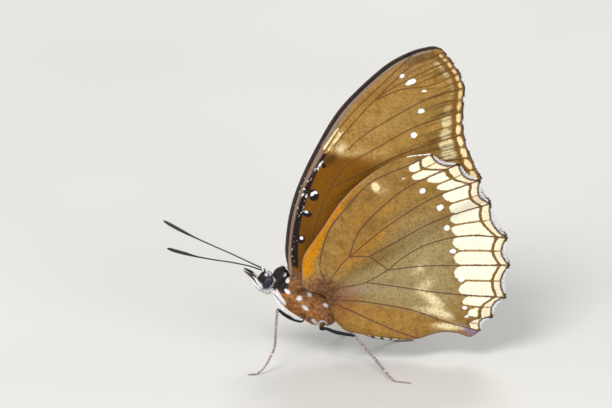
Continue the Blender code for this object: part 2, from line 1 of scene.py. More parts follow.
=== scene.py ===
"""Looks of the great eggfly (Hypolimnas bolina): scaled and fringed wings, fur, eyes, legs.

Lengths are in millimetres in the insect's plane XZ, from the point on the floor under the middle
of the thorax. MIDDLE_X moves them to the frame's origin, and MM turns them into metres.
The head points to -X, the left side to -Y and up is +Z.
"""
import math

import bpy
import bmesh
import numpy as np
from mathutils import Matrix, Vector
from mathutils.geometry import delaunay_2d_cdt


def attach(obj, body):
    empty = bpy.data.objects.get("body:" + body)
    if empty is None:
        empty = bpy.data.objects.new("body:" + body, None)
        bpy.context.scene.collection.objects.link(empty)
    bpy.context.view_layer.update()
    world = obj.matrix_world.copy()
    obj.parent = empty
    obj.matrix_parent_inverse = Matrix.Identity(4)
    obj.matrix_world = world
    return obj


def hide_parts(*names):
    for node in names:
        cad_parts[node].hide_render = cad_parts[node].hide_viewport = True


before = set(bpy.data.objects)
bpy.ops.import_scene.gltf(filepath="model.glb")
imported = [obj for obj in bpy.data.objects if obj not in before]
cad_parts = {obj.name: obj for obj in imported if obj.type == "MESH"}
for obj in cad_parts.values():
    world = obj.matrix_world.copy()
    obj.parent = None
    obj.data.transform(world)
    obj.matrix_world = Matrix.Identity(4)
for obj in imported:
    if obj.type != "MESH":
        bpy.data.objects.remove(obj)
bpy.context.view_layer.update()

MM = 0.001
MIDDLE_X = 4.75
LEFT = -1
RIGHT = 1
SIDES = ((LEFT, "left"), (RIGHT, "right"))

MESH_STEP = 0.24
LASH_SPACING = 0.05
BASE_HAIRS = 1500
FUR_THINNING = 1
PALP_HAIRS = 2200
LEG_SPINES = 170
BRUSH_HAIRS = 900

# The picture: its size in pixels, the point of the insect that is seen at ANCHOR_PIXEL, and
# the direction that it is seen from.
PICTURE_WIDTH = 612
PICTURE_HEIGHT = 408
ANCHOR_PIXEL = (305, 299)
ANCHOR_POINT = Vector((0, 0, 9.6))
MM_PER_PIXEL = 0.155
VIEW_AZIMUTH = math.radians(-4.5)
VIEW_HEIGHT = math.radians(22)
VIEW_ROLL = math.radians(2.75)
VIEW_DISTANCE = 2400.0
FLOOR_HALF = 2.0

# Lamps, in metres: place, size, power and colour.
LAMP_AIM = (0, 0, 0.02)
LAMPS = {
    "key": ((-0.25, -0.42, 0.55), 0.3, 4.2, (1.0, 0.97, 0.92)),
    "fill": ((0.5, -0.35, 0.25), 0.4, 1.2, (0.95, 0.97, 1.0)),
    "rim": ((0.1, 0.45, 0.45), 0.3, 1.6, (1.0, 1.0, 1.0)),
}
SKY_COLOUR = (0.93, 0.96, 1.0, 1.0)
SKY_STRENGTH = 0.55

# Fineness of the textures, in cells per metre.
WING_SCALES = 5200.0
WING_MOTTLE = 650.0
WING_SPECKLE = 2200.0
EYE_FACETS = 13000.0
EYE_BLOTCHES = 3600.0
HAIR_STRANDS = 9000.0
LEG_GRAIN = 5000.0

# The body, as the solids have it. Its skin lies deeper by SKIN_INSET, to leave room for the fur.
SKIN_INSET = 0.16
THORAX_MIDDLE = (-0.2, 9.9)
THORAX_TILT = math.radians(26)
THORAX_SECTIONS = [
    (-4.9, 1.2, -1.2, 1.1), (-4.5, 2.0, -1.7, 1.6), (-3.4, 2.7, -2.3, 2.2),
    (-1.6, 3.0, -2.9, 2.55), (0.3, 3.1, -3.2, 2.65), (2.2, 2.9, -3.4, 2.55),
    (3.8, 2.6, -3.3, 2.3), (5.0, 2.2, -2.8, 1.95), (5.7, 1.8, -2.1, 1.55),
]
HEAD_SECTIONS = [
    (-7.85, 0.35, -0.65, 0.4), (-7.65, 0.85, -1.0, 0.75), (-7.25, 1.25, -1.4, 1.05),
    (-6.7, 1.42, -1.6, 1.22), (-6.2, 1.15, -1.65, 1.27), (-5.8, 0.75, -1.6, 1.15),
    (-5.5, 0.6, -1.35, 0.95), (-5.2, 0.55, -1.15, 0.9), (-4.9, 0.55, -1.1, 0.9),
]
# The collar is the black hump of the thorax over the neck: its middle along the thorax's axis
# and above it, and its half length, half height and half width.
COLLAR = (-4.95, 1.55, 1.35, 1.5, 1.5)
EYE_MIDDLE = (-6.45, 0.0, 0.95)
EYE_SIZE = (0.78, 1.12, 0.76)
ABDOMEN_PATH = [(5.2, 7.15), (8.0, 6.0), (11.0, 5.0), (13.6, 4.6), (16.3, 4.3)]
ABDOMEN_SECTIONS = [
    (0.0, 1.1, 1.0),
    (0.15, 1.45, 1.2),
    (0.355, 1.75, 1.5),
    (0.54, 1.9, 1.74),
    (0.75, 1.8, 1.72),
    (0.88, 1.45, 1.5),
    (0.96, 0.9, 1.0),
    (1.0, 0.4, 0.45),
]
ABDOMEN_SEGMENTS = 8

# Palps, antennae and legs: x, distance from the middle, z and radius of points on them.
PALP_PATH = [
    (-6.7, 1.0, 11.45, 0.2), (-7.1, 1.25, 11.8, 0.22), (-7.42, 1.22, 12.15, 0.33),
    (-7.85, 1.08, 12.65, 0.43), (-8.25, 0.93, 13.15, 0.42), (-8.8, 0.8, 13.65, 0.29),
    (-9.35, 0.68, 14.08, 0.14), (-9.62, 0.62, 14.24, 0.06),
]
PALP_FLATNESS = 0.62
TONGUE_MIDDLE = (-8.2, 12.95)
TONGUE_OUTER = 0.45
TONGUE_INNER = 0.12
TONGUE_TURNS = 1.9
TONGUE_RADIUS = 0.11
ANTENNA_PATH = [
    (-6.2, 0.3, 13.8, 0.16), (-6.6, 0.38, 14.35, 0.16), (-6.9, 0.45, 14.5, 0.14),
    (-7.6, 0.57, 14.75, 0.12), (-8.9, 0.82, 15.28, 0.11), (-11.8, 1.85, 16.27, 0.11),
    (-14.6, 2.95, 17.1, 0.11), (-17.3, 3.95, 17.97, 0.14), (-19.1, 4.55, 18.67, 0.25),
    (-20.7, 5.15, 19.33, 0.28), (-21.7, 5.5, 19.78, 0.22), (-22.1, 5.65, 19.97, 0.09),
]
FORELEG_PATH = [
    (-3.4, 2.75, 8.75, 0.23), (-4.0, 2.42, 9.5, 0.24), (-5.05, 1.95, 10.85, 0.2),
    (-5.25, 2.05, 11.4, 0.17), (-4.95, 2.45, 11.65, 0.17), (-4.2, 2.72, 10.95, 0.2),
    (-3.5, 2.8, 10.15, 0.17), (-3.2, 2.8, 9.7, 0.06),
]
# Where along the thorax a leg roots and how far round it, in degrees from below.
MIDLEG_ROOT = (0.9, 50)
HINDLEG_ROOT = (4.4, 48)
NEAR_MIDLEG_PATH = [
    (-1.2, 3.0, 7.2, 0.27), (-2.2, 3.4, 7.7, 0.29), (-3.3, 3.95, 8.5, 0.27),
    (-4.45, 4.55, 9.55, 0.22), (-4.6, 4.85, 9.0, 0.2), (-4.75, 5.7, 6.7, 0.19),
    (-4.85, 6.5, 4.3, 0.19), (-5.3, 6.9, 3.1, 0.17), (-6.0, 7.35, 1.7, 0.16),
    (-6.7, 7.65, 0.8, 0.15), (-7.5, 7.85, 0.16, 0.14), (-8.3, 8.0, 0.13, 0.13),
    (-8.7, 8.05, 0.09, 0.09),
]
NEAR_HINDLEG_PATH = [
    (3.4, 2.95, 5.85, 0.27), (4.6, 3.6, 5.65, 0.29), (6.1, 4.4, 5.66, 0.27),
    (7.5, 5.0, 5.65, 0.22), (8.0, 5.35, 5.3, 0.2), (9.5, 6.5, 3.95, 0.22),
    (11.3, 8.2, 2.4, 0.22), (12.2, 8.9, 1.45, 0.18), (13.1, 9.4, 0.65, 0.16),
    (13.9, 9.75, 0.17, 0.15), (14.9, 10.05, 0.14, 0.13), (15.7, 10.25, 0.13, 0.13),
    (16.1, 10.3, 0.09, 0.09),
]
FAR_MIDLEG_PATH = [
    (1.0, 3.3, 6.7, 0.27), (2.9, 4.2, 7.1, 0.29), (4.2, 5.3, 8.1, 0.27),
    (4.6, 5.7, 8.3, 0.22), (4.8, 6.0, 7.8, 0.2), (5.5, 7.1, 5.6, 0.19),
    (6.2, 8.3, 3.5, 0.19), (6.6, 8.8, 2.3, 0.17), (7.1, 9.3, 1.15, 0.16),
    (7.7, 9.7, 0.4, 0.15), (8.4, 10.0, 0.14, 0.13), (9.1, 10.2, 0.13, 0.13),
    (9.5, 10.3, 0.09, 0.09),
]
FAR_HINDLEG_PATH = [
    (4.2, 3.0, 5.6, 0.27), (6.3, 3.9, 5.95, 0.29), (8.6, 4.8, 6.6, 0.27),
    (9.1, 5.0, 6.6, 0.22), (9.6, 5.1, 6.2, 0.2), (11.0, 5.6, 4.5, 0.22),
    (12.5, 6.0, 2.7, 0.22), (13.2, 6.2, 1.7, 0.18), (14.1, 6.4, 0.7, 0.16),
    (15.0, 6.6, 0.17, 0.15), (16.2, 6.8, 0.14, 0.13), (17.2, 7.0, 0.13, 0.13),
    (17.6, 7.05, 0.09, 0.09),
]

# The wings' outlines and veins, as the solids have them.
FOREWING_Y = 0.65
HINDWING_STEP = 1.15
HINDWING_STEP_RUN = 3.4
# They bow outward to pass the thorax and a line beside the abdomen, as the solids do.
BOW_PATH = [(5.2, 6.95), (9.3, 5.35), (13.4, 4.5), (18.2, 4.2)]
BOW_SIZES = [
    (0.0, 1.45, 1.75), (0.12, 1.8, 2.05), (0.35, 1.95, 2.15), (0.6, 1.85, 2.0),
    (0.8, 1.45, 1.6), (0.93, 0.85, 0.95), (1.0, 0.35, 0.4),
]
BULGE_REACH = 1.5
BULGE_ROOM = 0.08
# The right forewing lies a little further forward than the left one.
FAR_FOREWING_SHIFT = -0.4
FAR_SHIFT_START = 12.5
FAR_SHIFT_END = 18.0
FOREWING_COSTA = [
    (-1.9, 12.2), (-2.6, 13.8), (-3.0, 17.5), (-2.7, 22.9), (-1.6, 28.0),
    (1.0, 34.7), (4.6, 41.5), (10.6, 48.1), (14.6, 50.75), (17.3, 51.7), (18.6, 51.85),
    (19.6, 51.5),
]
FOREWING_MARGIN = {
    "R4": (19.6, 51.5), "R5": (20.9, 50.25), "M1": (22.4, 48.15), "M2": (23.3, 45.65),
    "M3": (23.2, 41.8), "Cu1": (23.45, 37.95), "Cu2": (24.8, 34.1), "2A": (26.7, 30.6),
}
FOREWING_INNER = [(26.7, 30.6), (26.4, 29.3), (15.5, 23.0), (6.5, 17.4), (1.6, 14.2), (0.2, 12.4)]
FOREWING_VEINS = {
    "Sc": [(-1.7, 12.9), (-2.5, 16.5), (-2.4, 21.5), (-1.2, 27.6), (1.4, 33.7), (5.4, 40.5),
           (11.2, 47.0), (14.6, 50.7)],
    "R5": [(-1.0, 12.9), (-1.5, 18.1), (-1.2, 23.1), (-0.1, 28.1), (1.8, 33.2), (4.6, 37.4),
          (9.2, 43.2), (13.1, 46.1), (16.9, 48.2), (20.9, 50.25)],
    "R4": [(9.2, 43.2), (12.4, 46.9), (14.9, 49.2), (19.6, 51.5)],
    "M1": [(9.2, 43.2), (13.1, 45.1), (17.8, 45.9), (22.4, 48.15)],
    "M2": [(5.5, 35.0), (7.8, 37.4), (12.8, 40.9), (17.7, 43.8), (23.3, 45.65)],
    "M3": [(4.9, 32.1), (9.8, 35.3), (15.9, 39.1), (23.2, 41.8)],
    "Cu": [(-0.2, 12.9), (0.4, 19.0), (1.5, 24.5), (3.0, 28.6), (4.9, 32.1)],
    "Cu1": [(3.0, 28.6), (7.9, 31.2), (14.4, 34.7), (23.45, 37.95)],
    "Cu2": [(1.5, 24.5), (8.0, 29.0), (16.0, 32.6), (24.8, 34.1)],
    "2A": [(0.2, 13.4), (3.5, 17.5), (10.0, 22.0), (18.0, 27.2), (26.7, 30.6)],
}
HINDWING_COSTA = [
    (2.6, 11.7), (1.38, 12.24), (0.1, 12.64), (-0.61, 13.36), (-0.86, 14.35), (-0.88, 15.48),
    (-0.84, 16.67), (-0.4, 18.2), (1.7, 21.6), (4.9, 27.0), (9.0, 31.3), (13.6, 34.1),
    (18.2, 35.0),
]
HINDWING_MARGIN = {
    "Sc": (18.2, 35.0), "Rs": (22.8, 33.6), "M1": (26.3, 30.9), "M2": (28.2, 26.5),
    "M3": (31.1, 20.8), "Cu1": (31.7, 16.2), "Cu2": (31.4, 10.7), "1A": (29.4, 7.2),
    "2A": (27.6, 4.9),
}
HINDWING_INNER = [
    (27.6, 4.9), (25.9, 4.0), (23.8, 4.6), (21.4, 4.7), (18.1, 3.9), (14.9, 4.13),
    (11.7, 4.53), (8.9, 4.95), (6.7, 5.27), (5.8, 5.8), (5.1, 6.55), (4.5, 7.7),
    (4.0, 9.0), (3.4, 10.5),
]
HINDWING_VEINS = {
    "Sc": [(2.9, 12.1), (2.8, 13.3), (2.5, 14.5), (1.85, 16.4), (3.0, 21.8), (5.5, 25.6),
           (9.2, 30.1), (15.1, 33.1), (18.2, 35.0)],
    "R": [(3.2, 12.5), (3.55, 13.8), (4.9, 15.8), (6.4, 17.5), (9.4, 17.6), (11.0, 16.3),
          (12.6, 15.0)],
    "Rs": [(6.4, 17.5), (7.6, 21.6), (11.0, 25.9), (15.3, 29.6), (22.8, 33.6)],
    "M1": [(6.4, 17.5), (11.6, 22.4), (18.8, 27.6), (26.3, 30.9)],
    "M2": [(9.4, 17.6), (14.2, 20.6), (19.9, 23.9), (28.2, 26.5)],
    "M3": [(12.6, 15.0), (15.3, 17.5), (19.2, 19.7), (24.8, 21.0), (31.1, 20.8)],
    "Cu1": [(12.6, 15.0), (18.4, 15.8), (31.7, 16.2)],
    "Cu": [(3.5, 12.0), (6.5, 12.4), (9.3, 12.9), (12.6, 15.0)],
    "Cu2": [(9.3, 12.9), (14.0, 12.3), (19.6, 11.5), (25.5, 11.0), (31.4, 10.7)],
    "2A": [(3.7, 11.1), (5.3, 10.4), (9.7, 9.7), (16.3, 8.5), (22.0, 6.5), (27.6, 4.9)],
    "3A": [(3.9, 10.3), (5.3, 9.5), (7.3, 8.45), (12.2, 6.3), (18.1, 3.9)],
}
# A fold that is no vein but parts the markings like one.
HINDWING_FOLD_1A = [(12.0, 11.2), (20.0, 9.2), (25.2, 7.5), (29.4, 7.2)]

# The membrane is thinner than the solids and ends short of the fringe, whose lashes reach out
# to the solids' outline: how deep the scallops of both are.
MEMBRANE = 0.05
VEIN_RIDGE = 0.06
VEIN_WIDTH = 0.14
# In the membrane's mesh, points nearer than SNAP are one and smaller triangles are left out.
# Loose points keep a share of a step away from the veins and the edge.
SNAP = 1e-5
LOOSE_GAP = 0.4
SWELL = 0.11
SWELL_WIDTH = 0.9
TIP_INSET = 0.22
# INNER_START is the first point of the inner edge that the membrane keeps after the last tip.
INNER_START = {"forewing": 2, "hindwing": 1}
SCALLOP = {"forewing": 0.1, "hindwing": 1.0}
FRINGE_SCALLOP = {"forewing": -0.2, "hindwing": 0.45}


# Marks are fields in millimetres: positive inside the mark, negative outside it.
OUTSIDE = -1.0


def linear(red, green, blue):
    """A colour given as 0 to 255 screen values, for the shader's linear sockets."""
    shares = [value / 255 for value in (red, green, blue)]
    return tuple(s / 12.92 if s <= 0.04045 else ((s + 0.055) / 1.055) ** 2.4 for s in shares)


def place(points):
    """Millimetre points moved into the frame, in metres."""
    return (np.asarray(points, float) - (MIDDLE_X, 0, 0)) * MM


def smooth_curve(points, spacing):
    """Catmull-Rom curve through the points, which stay on it, with steps of about spacing."""
    points = [np.asarray(point, float) for point in points]
    padded = [2 * points[0] - points[1], *points, 2 * points[-1] - points[-2]]
    curve = [points[0]]
    for p0, p1, p2, p3 in zip(padded, padded[1:], padded[2:], padded[3:]):
        steps = max(1, round(float(np.linalg.norm(p2 - p1)) / spacing))
        for step in range(1, steps + 1):
            t = step / steps
            a = 2 * p1
            b = p2 - p0
            c = 2 * p0 - 5 * p1 + 4 * p2 - p3
            d = 3 * p1 - p0 - 3 * p2 + p3
            curve.append((a + b * t + c * t * t + d * t ** 3) * 0.5)
    return np.array(curve)


def nearest(points, line):
    """Distance of each point from a line, and whether it is on the line's left side."""
    best = np.full(len(points), 1e9)
    left = np.zeros(len(points), bool)
    for here, there in zip(line, line[1:]):
        chord = there - here
        t = np.clip((points - here) @ chord / (chord @ chord), 0, 1)
        gap = points - here - t[:, None] * chord
        distance = np.hypot(gap[:, 0], gap[:, 1])
        closer = distance < best
        best[closer] = distance[closer]
        turn = chord[0] * gap[:, 1] - chord[1] * gap[:, 0]
        left[closer] = turn[closer] > 0
    return best, left


def inside(points, outline):
    """Which points lie inside a closed outline."""
    found = np.zeros(len(points), bool)
    for here, there in zip(outline, np.roll(outline, -1, axis=0)):
        if here[1] == there[1]:
            continue
        spans = (here[1] > points[:, 1]) != (there[1] > points[:, 1])
        slope = (there[0] - here[0]) / (there[1] - here[1])
        crossing = here[0] + (points[:, 1] - here[1]) * slope
        found ^= spans & (points[:, 0] < crossing)
    return found


def on_thorax(along, above, side=0.0):
    """A place given along the thorax's axis, square to it and to the side."""
    x = THORAX_MIDDLE[0] + along * math.cos(THORAX_TILT) + above * math.sin(THORAX_TILT)
    z = THORAX_MIDDLE[1] - along * math.sin(THORAX_TILT) + above * math.cos(THORAX_TILT)
    return np.array((x, side, z))


def thorax_way(along, above):
    """A direction given along the thorax's axis and square to it."""
    return on_thorax(along, above) - on_thorax(0, 0)


def sizes_at(sections, key):
    """Sizes between sections, each of which has its key first."""
    keys = [section[0] for section in sections]
    columns = list(zip(*sections))[1:]
    return [float(np.interp(key, keys, column)) for column in columns]


def bulge_samples():
    """Middles and half sizes of the body, which the wings bow outward to pass."""
    samples = []
    for along, top, bottom, half_width in smooth_curve(THORAX_SECTIONS, 0.5):
        middle = on_thorax(along, (top + bottom) / 2)
        samples.append((middle[0], middle[2], half_width, (top - bottom) / 2))
    curve = smooth_curve(BOW_PATH, 0.5)
    for index, point in enumerate(curve):
        half_width, half_height = sizes_at(BOW_SIZES, index / (len(curve) - 1))
        samples.append((point[0], point[1], half_width, half_height))
    return samples


BULGES = bulge_samples()


def body_bulge(flat):
    """How far the body holds the wings apart."""
    widest = np.zeros(len(flat))
    for middle_x, middle_z, half_width, half_height in BULGES:
        distance = np.hypot(flat[:, 0] - middle_x, flat[:, 1] - middle_z)
        fall = np.exp(-(distance / (BULGE_REACH * half_height)) ** 2)
        widest = np.maximum(widest, (half_width + BULGE_ROOM) * fall)
    return widest


def forewing_y(flat):
    return FOREWING_Y + body_bulge(flat)


def hindwing_y(flat):
    """The hindwing lies on the forewing's outer side and eases inward below its inner margin."""
    near = np.array(FOREWING_INNER[-1])
    ahead = np.array(FOREWING_INNER[1]) - near
    ahead /= np.linalg.norm(ahead)
    rise = (flat - near) @ np.array((-ahead[1], ahead[0]))
    t = np.clip((rise + HINDWING_STEP_RUN) / HINDWING_STEP_RUN, 0, 1)
    cover = t * t * (3 - 2 * t)
    return FOREWING_Y + HINDWING_STEP * cover + body_bulge(flat)


class Paint:
    """A Principled material built with short calls."""

    def __init__(self, name, **constants):
        self.material = bpy.data.materials.new(name)
        self.material.use_nodes = True
        self.tree = self.material.node_tree
        self.shader = self.tree.nodes["Principled BSDF"]
        for socket, value in constants.items():
            self.shader.inputs[socket.replace("_", " ")].default_value = value

    def node(self, kind, inputs=(), **settings):
        made = self.tree.nodes.new(kind)
        for name, value in settings.items():
            setattr(made, name, value)
        for name, value in dict(inputs).items():
            self.feed(made.inputs[name], value)
        return made

    def feed(self, socket, value):
        if isinstance(value, bpy.types.NodeSocket):
            self.tree.links.new(value, socket)
        elif isinstance(value, tuple) and len(value) == 3 and socket.type == "RGBA":
            socket.default_value = (*value, 1.0)
        else:
            socket.default_value = value

    def field(self, name):
        return self.node("ShaderNodeAttribute", attribute_name=name).outputs["Fac"]

    def vector_field(self, name):
        return self.node("ShaderNodeAttribute", attribute_name=name).outputs["Vector"]

    def place_in(self, vector, scale):
        """A vector stretched by a scale on each axis."""
        inputs = {"Vector": vector, "Scale": scale}
        return self.node("ShaderNodeMapping", inputs).outputs["Vector"]

    def here(self):
        return self.node("ShaderNodeTexCoord").outputs["Object"]

    def step(self, value, low, high, start=0.0, end=1.0):
        inputs = {"Value": value, "From Min": low, "From Max": high, "To Min": start, "To Max": end}
        made = self.node("ShaderNodeMapRange", inputs, interpolation_type="SMOOTHSTEP")
        return made.outputs["Result"]

    def math(self, operation, first, second=0.0):
        made = self.node("ShaderNodeMath", {0: first, 1: second}, operation=operation)
        return made.outputs[0]

    def mix(self, factor, first, second):
        inputs = {0: factor, 6: first, 7: second}
        return self.node("ShaderNodeMix", inputs, data_type="RGBA").outputs[2]

    def darken(self, factor, colour, by):
        """A colour multiplied by a grey where the factor is one."""
        inputs = {0: factor, 6: colour, 7: (by, by, by)}
        made = self.node("ShaderNodeMix", inputs, data_type="RGBA", blend_type="MULTIPLY")
        return made.outputs[2]

    def noise(self, vector, scale, detail=2.0, rough=0.55):
        inputs = {"Vector": vector, "Scale": scale, "Detail": detail, "Roughness": rough}
        return self.node("ShaderNodeTexNoise", inputs).outputs["Fac"]

    def cells(self, vector, scale, spread=1.0):
        inputs = {"Vector": vector, "Scale": scale, "Randomness": spread}
        return self.node("ShaderNodeTexVoronoi", inputs)

    def grey_of(self, colour):
        return self.node("ShaderNodeRGBToBW", {"Color": colour}).outputs["Val"]

    def bump(self, height, distance, strength=1.0, normal=None):
        inputs = {"Height": height, "Distance": distance, "Strength": strength}
        if normal is not None:
            inputs["Normal"] = normal
        return self.node("ShaderNodeBump", inputs).outputs["Normal"]

    def finish(self, colour, roughness=None, normal=None):
        self.feed(self.shader.inputs["Base Color"], colour)
        if roughness is not None:
            self.feed(self.shader.inputs["Roughness"], roughness)
        if normal is not None:
            self.feed(self.shader.inputs["Normal"], normal)
        return self.material


def add_piece(name, vertices, faces, materials, slot, smooth=True):
    """A mesh piece that rides with the insect."""
    mesh = bpy.data.meshes.new(name)
    mesh.from_pydata([tuple(v) for v in place(vertices)], [], faces)
    for material in materials:
        mesh.materials.append(material)
    if smooth:
        mesh.shade_smooth()
    piece = bpy.data.objects.new(name, mesh)
    bpy.context.scene.collection.objects.link(piece)
    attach(piece, "root")
    return piece


def add_field(piece, name, values):
    values = np.asarray(values, np.float32)
    kind = "FLOAT_VECTOR" if values.ndim == 2 else "FLOAT"
    made = piece.data.attributes.new(name, kind, "POINT")
    made.data.foreach_set("vector" if values.ndim == 2 else "value", values.ravel())


def add_bake_map(piece, places):
    """The OFBake map from one place for each vertex."""
    mesh = piece.data
    corner = np.empty(len(mesh.loops), np.int32)
    mesh.loops.foreach_get("vertex_index", corner)
    layer = mesh.uv_layers.new(name="OFBake")
    layer.data.foreach_set("uv", np.asarray(places, np.float32)[corner].ravel())


def face_outward(piece):
    shape = bmesh.new()
    shape.from_mesh(piece.data)
    bmesh.ops.recalc_face_normals(shape, faces=shape.faces)
    shape.to_mesh(piece.data)
    shape.free()


def spot(flat, centre, length, width, turn=0.0):
    """An oval spot, its length turned by some degrees from +X towards +Z."""
    angle = math.radians(turn)
    offset = flat - np.asarray(centre)
    along = offset @ np.array((math.cos(angle), math.sin(angle)))
    across = offset @ np.array((-math.sin(angle), math.cos(angle)))
    radius = np.hypot(along / (length / 2), across / (width / 2))
    return np.clip((1 - radius) * min(length, width) / 2, -1, 1)


def streak(flat, start, end, width):
    """A stroke with round ends."""
    line = np.array((start, end), float)
    distance, _ = nearest(flat, line)
    return np.clip(width / 2 - distance, -1, 1)


def glow(flat, centre, length, width, turn=0.0):
    """A soft patch, one at its middle."""
    angle = math.radians(turn)
    offset = flat - np.asarray(centre)
    along = offset @ np.array((math.cos(angle), math.sin(angle)))
    across = offset @ np.array((-math.sin(angle), math.cos(angle)))
    return np.exp(-(along / (length / 2)) ** 2 - (across / (width / 2)) ** 2)


def glows(flat, patches):
    """Soft patches added up: each has its strength first."""
    return sum(strength * glow(flat, *patch) for strength, *patch in patches)


def spots(flat, values):
    return np.max([spot(flat, *each) for each in values], axis=0)


def ease(value, low, high):
    """Zero below low, one above high and smooth between."""
    t = np.clip((value - low) / (high - low), 0, 1)
    return t * t * (3 - 2 * t)


def fade(value, low, high):
    """One below low, zero above high and smooth between."""
    return ease(-value, -high, -low)


class Wing:
    """One kind of wing: its outline, its membrane and where each point is among its veins."""

    def __init__(self, kind, costa, margin, inner, veins, middle_y):
        self.kind = kind
        self.costa = costa
        self.ends = [np.array(end) for end in margin.values()]
        self.names = list(margin)
        self.inner = inner
        self.veins = veins
        self.middle_y = middle_y
        self.tips = self.inset_tips()

    def inset_tips(self):
        """Where the membrane ends at each vein, a little inside the insect's outline."""
        tips = []
        for index, end in enumerate(self.ends):
            before = self.ends[max(index - 1, 0)]
            after = self.ends[min(index + 1, len(self.ends) - 1)]
            chord = after - before
            inward = np.array((chord[1], -chord[0])) / np.linalg.norm(chord)
            keep = TIP_INSET if index > 0 else 0.0
            tips.append(end + inward * keep)
        return tips

    def margin_line(self, step):
        """The membrane's outer edge: one scallop from each vein to the next."""
        line = []
        for here, there in zip(self.tips, self.tips[1:]):
            chord = there - here
            inward = np.array((chord[1], -chord[0])) / np.linalg.norm(chord)
            count = max(4, round(float(np.linalg.norm(chord)) / step))
            for index in range(count):
                t = index / count
                depth = SCALLOP[self.kind] * math.sin(math.pi * t)
                line.append(here + chord * t + inward * depth)
        return line

    def outline(self, step):
        costa = list(smooth_curve(self.costa, step))[:-1]
        kept = self.inner[INNER_START[self.kind]:]
        inner = list(smooth_curve([tuple(self.tips[-1])] + kept, step))
        return np.array(costa + self.margin_line(step) + inner)

    def vein_lines(self, step):
        """The veins, with those that reach the outer margin ending on the membrane."""
        lines = {}
        for name, points in self.veins.items():
            points = list(points)
            if name in self.names and self.names.index(name) > 0:
                points[-1] = tuple(self.tips[self.names.index(name)])
            lines[name] = smooth_curve(points, step)
        return lines

    def triangulate(self):
        """A flat mesh with the outline and each vein's crest and foot among its edges."""
        step = MESH_STEP
        outline = self.outline(step)
        closed = np.vstack((outline, outline[:1]))
        lines = list(self.vein_lines(step).values())
        points = []
        edges = []
        known = {}
        for line in [closed] + lines:
            indices = []
            for point in line:
                key = (round(point[0], 3), round(point[1], 3))
                if key not in known:
                    known[key] = len(points)
                    points.append(point)
                indices.append(known[key])
            edges += [pair for pair in zip(indices, indices[1:]) if pair[0] != pair[1]]
        coarse = list(self.vein_lines(4 * step).values()) + [closed[::3]]
        flanks = [self.flanks(line) for line in lines]
        loose = np.vstack(flanks)
        clear = np.min([nearest(loose, line)[0] for line in coarse], axis=0)
        loose = loose[clear > 0.8 * VEIN_WIDTH / 2]
        fill = self.fill(outline, step)
        clear = np.min([nearest(fill, line)[0] for line in coarse], axis=0)
        loose = np.vstack((loose, fill[clear > VEIN_WIDTH + LOOSE_GAP * step]))
        loose = loose[inside(loose, outline)]
        every = [Vector(point) for point in points] + [Vector(point) for point in loose]
        flat, _, faces, *_ = delaunay_2d_cdt(every, edges, [], 0, SNAP)
        flat = np.array([tuple(point) for point in flat])
        faces = np.array(faces)
        middles = flat[faces].mean(axis=1)
        a, b, c = (flat[faces[:, k]] for k in range(3))
        area = (b - a)[:, 0] * (c - a)[:, 1] - (b - a)[:, 1] * (c - a)[:, 0]
        faces = faces[inside(middles, outline) & (np.abs(area) > SNAP)]
        return flat, faces

    def flanks(self, line):
        """Points at both feet and half way up both slopes of a vein's ridge."""
        ahead = np.gradient(line, axis=0)
        across = np.stack((-ahead[:, 1], ahead[:, 0]), axis=1)
        across /= np.linalg.norm(across, axis=1)[:, None]
        rows = [line + across * offset for offset in
                (-VEIN_WIDTH, -VEIN_WIDTH / 2, VEIN_WIDTH / 2, VEIN_WIDTH)]
        return np.vstack(rows)

    def fill(self, outline, step):
        low = outline.min(axis=0)
        high = outline.max(axis=0)
        rows = np.arange(low[1], high[1], step * 0.87)
        columns = np.arange(low[0], high[0], step)
        grid_x, grid_z = np.meshgrid(columns, rows)
        grid_x = grid_x + (np.arange(len(rows)) % 2)[:, None] * step / 2
        return np.stack((grid_x.ravel(), grid_z.ravel()), axis=1)

    def locate(self, flat):
        """Where points are: distances from veins, edge and costa, and their place in a cell."""
        lines = self.vein_lines(1.0)
        gaps = {name: nearest(flat, line) for name, line in lines.items()}
        self.to_vein = np.min([gap for gap, _ in gaps.values()], axis=0)
        fan = [gaps[name] if name in gaps else nearest(flat, smooth_curve(HINDWING_FOLD_1A, 1.0))
               for name in self.names]
        below = np.array([~left for _, left in fan])
        self.cell = below.sum(axis=0) - 1
        # Points outside the fan of veins keep these two values.
        self.share = np.full(len(flat), 0.5)
        self.width = np.full(len(flat), 5.0)
        for index in range(len(fan) - 1):
            here = self.cell == index
            near = fan[index][0][here]
            far = fan[index + 1][0][here]
            self.share[here] = near / (near + far + 1e-9)
            self.width[here] = near + far
        self.depth, _ = nearest(flat, np.array(self.ends))
        self.to_edge, _ = nearest(flat, np.array(self.margin_line(0.3) + [self.tips[-1]]))
        self.to_costa, _ = nearest(flat, smooth_curve(self.costa, 1.0))
        self.to_inner, _ = nearest(flat, smooth_curve(self.inner, 1.0))
        self.arch = np.sin(np.pi * self.share)
        return gaps


FOREWING = Wing("forewing", FOREWING_COSTA, FOREWING_MARGIN, FOREWING_INNER,
                FOREWING_VEINS, forewing_y)
HINDWING = Wing("hindwing", HINDWING_COSTA, HINDWING_MARGIN, HINDWING_INNER,
                HINDWING_VEINS, hindwing_y)

# The two halves of a cell between veins, as shares of its width.
HALF_MIDDLES = (0.25, 0.75)
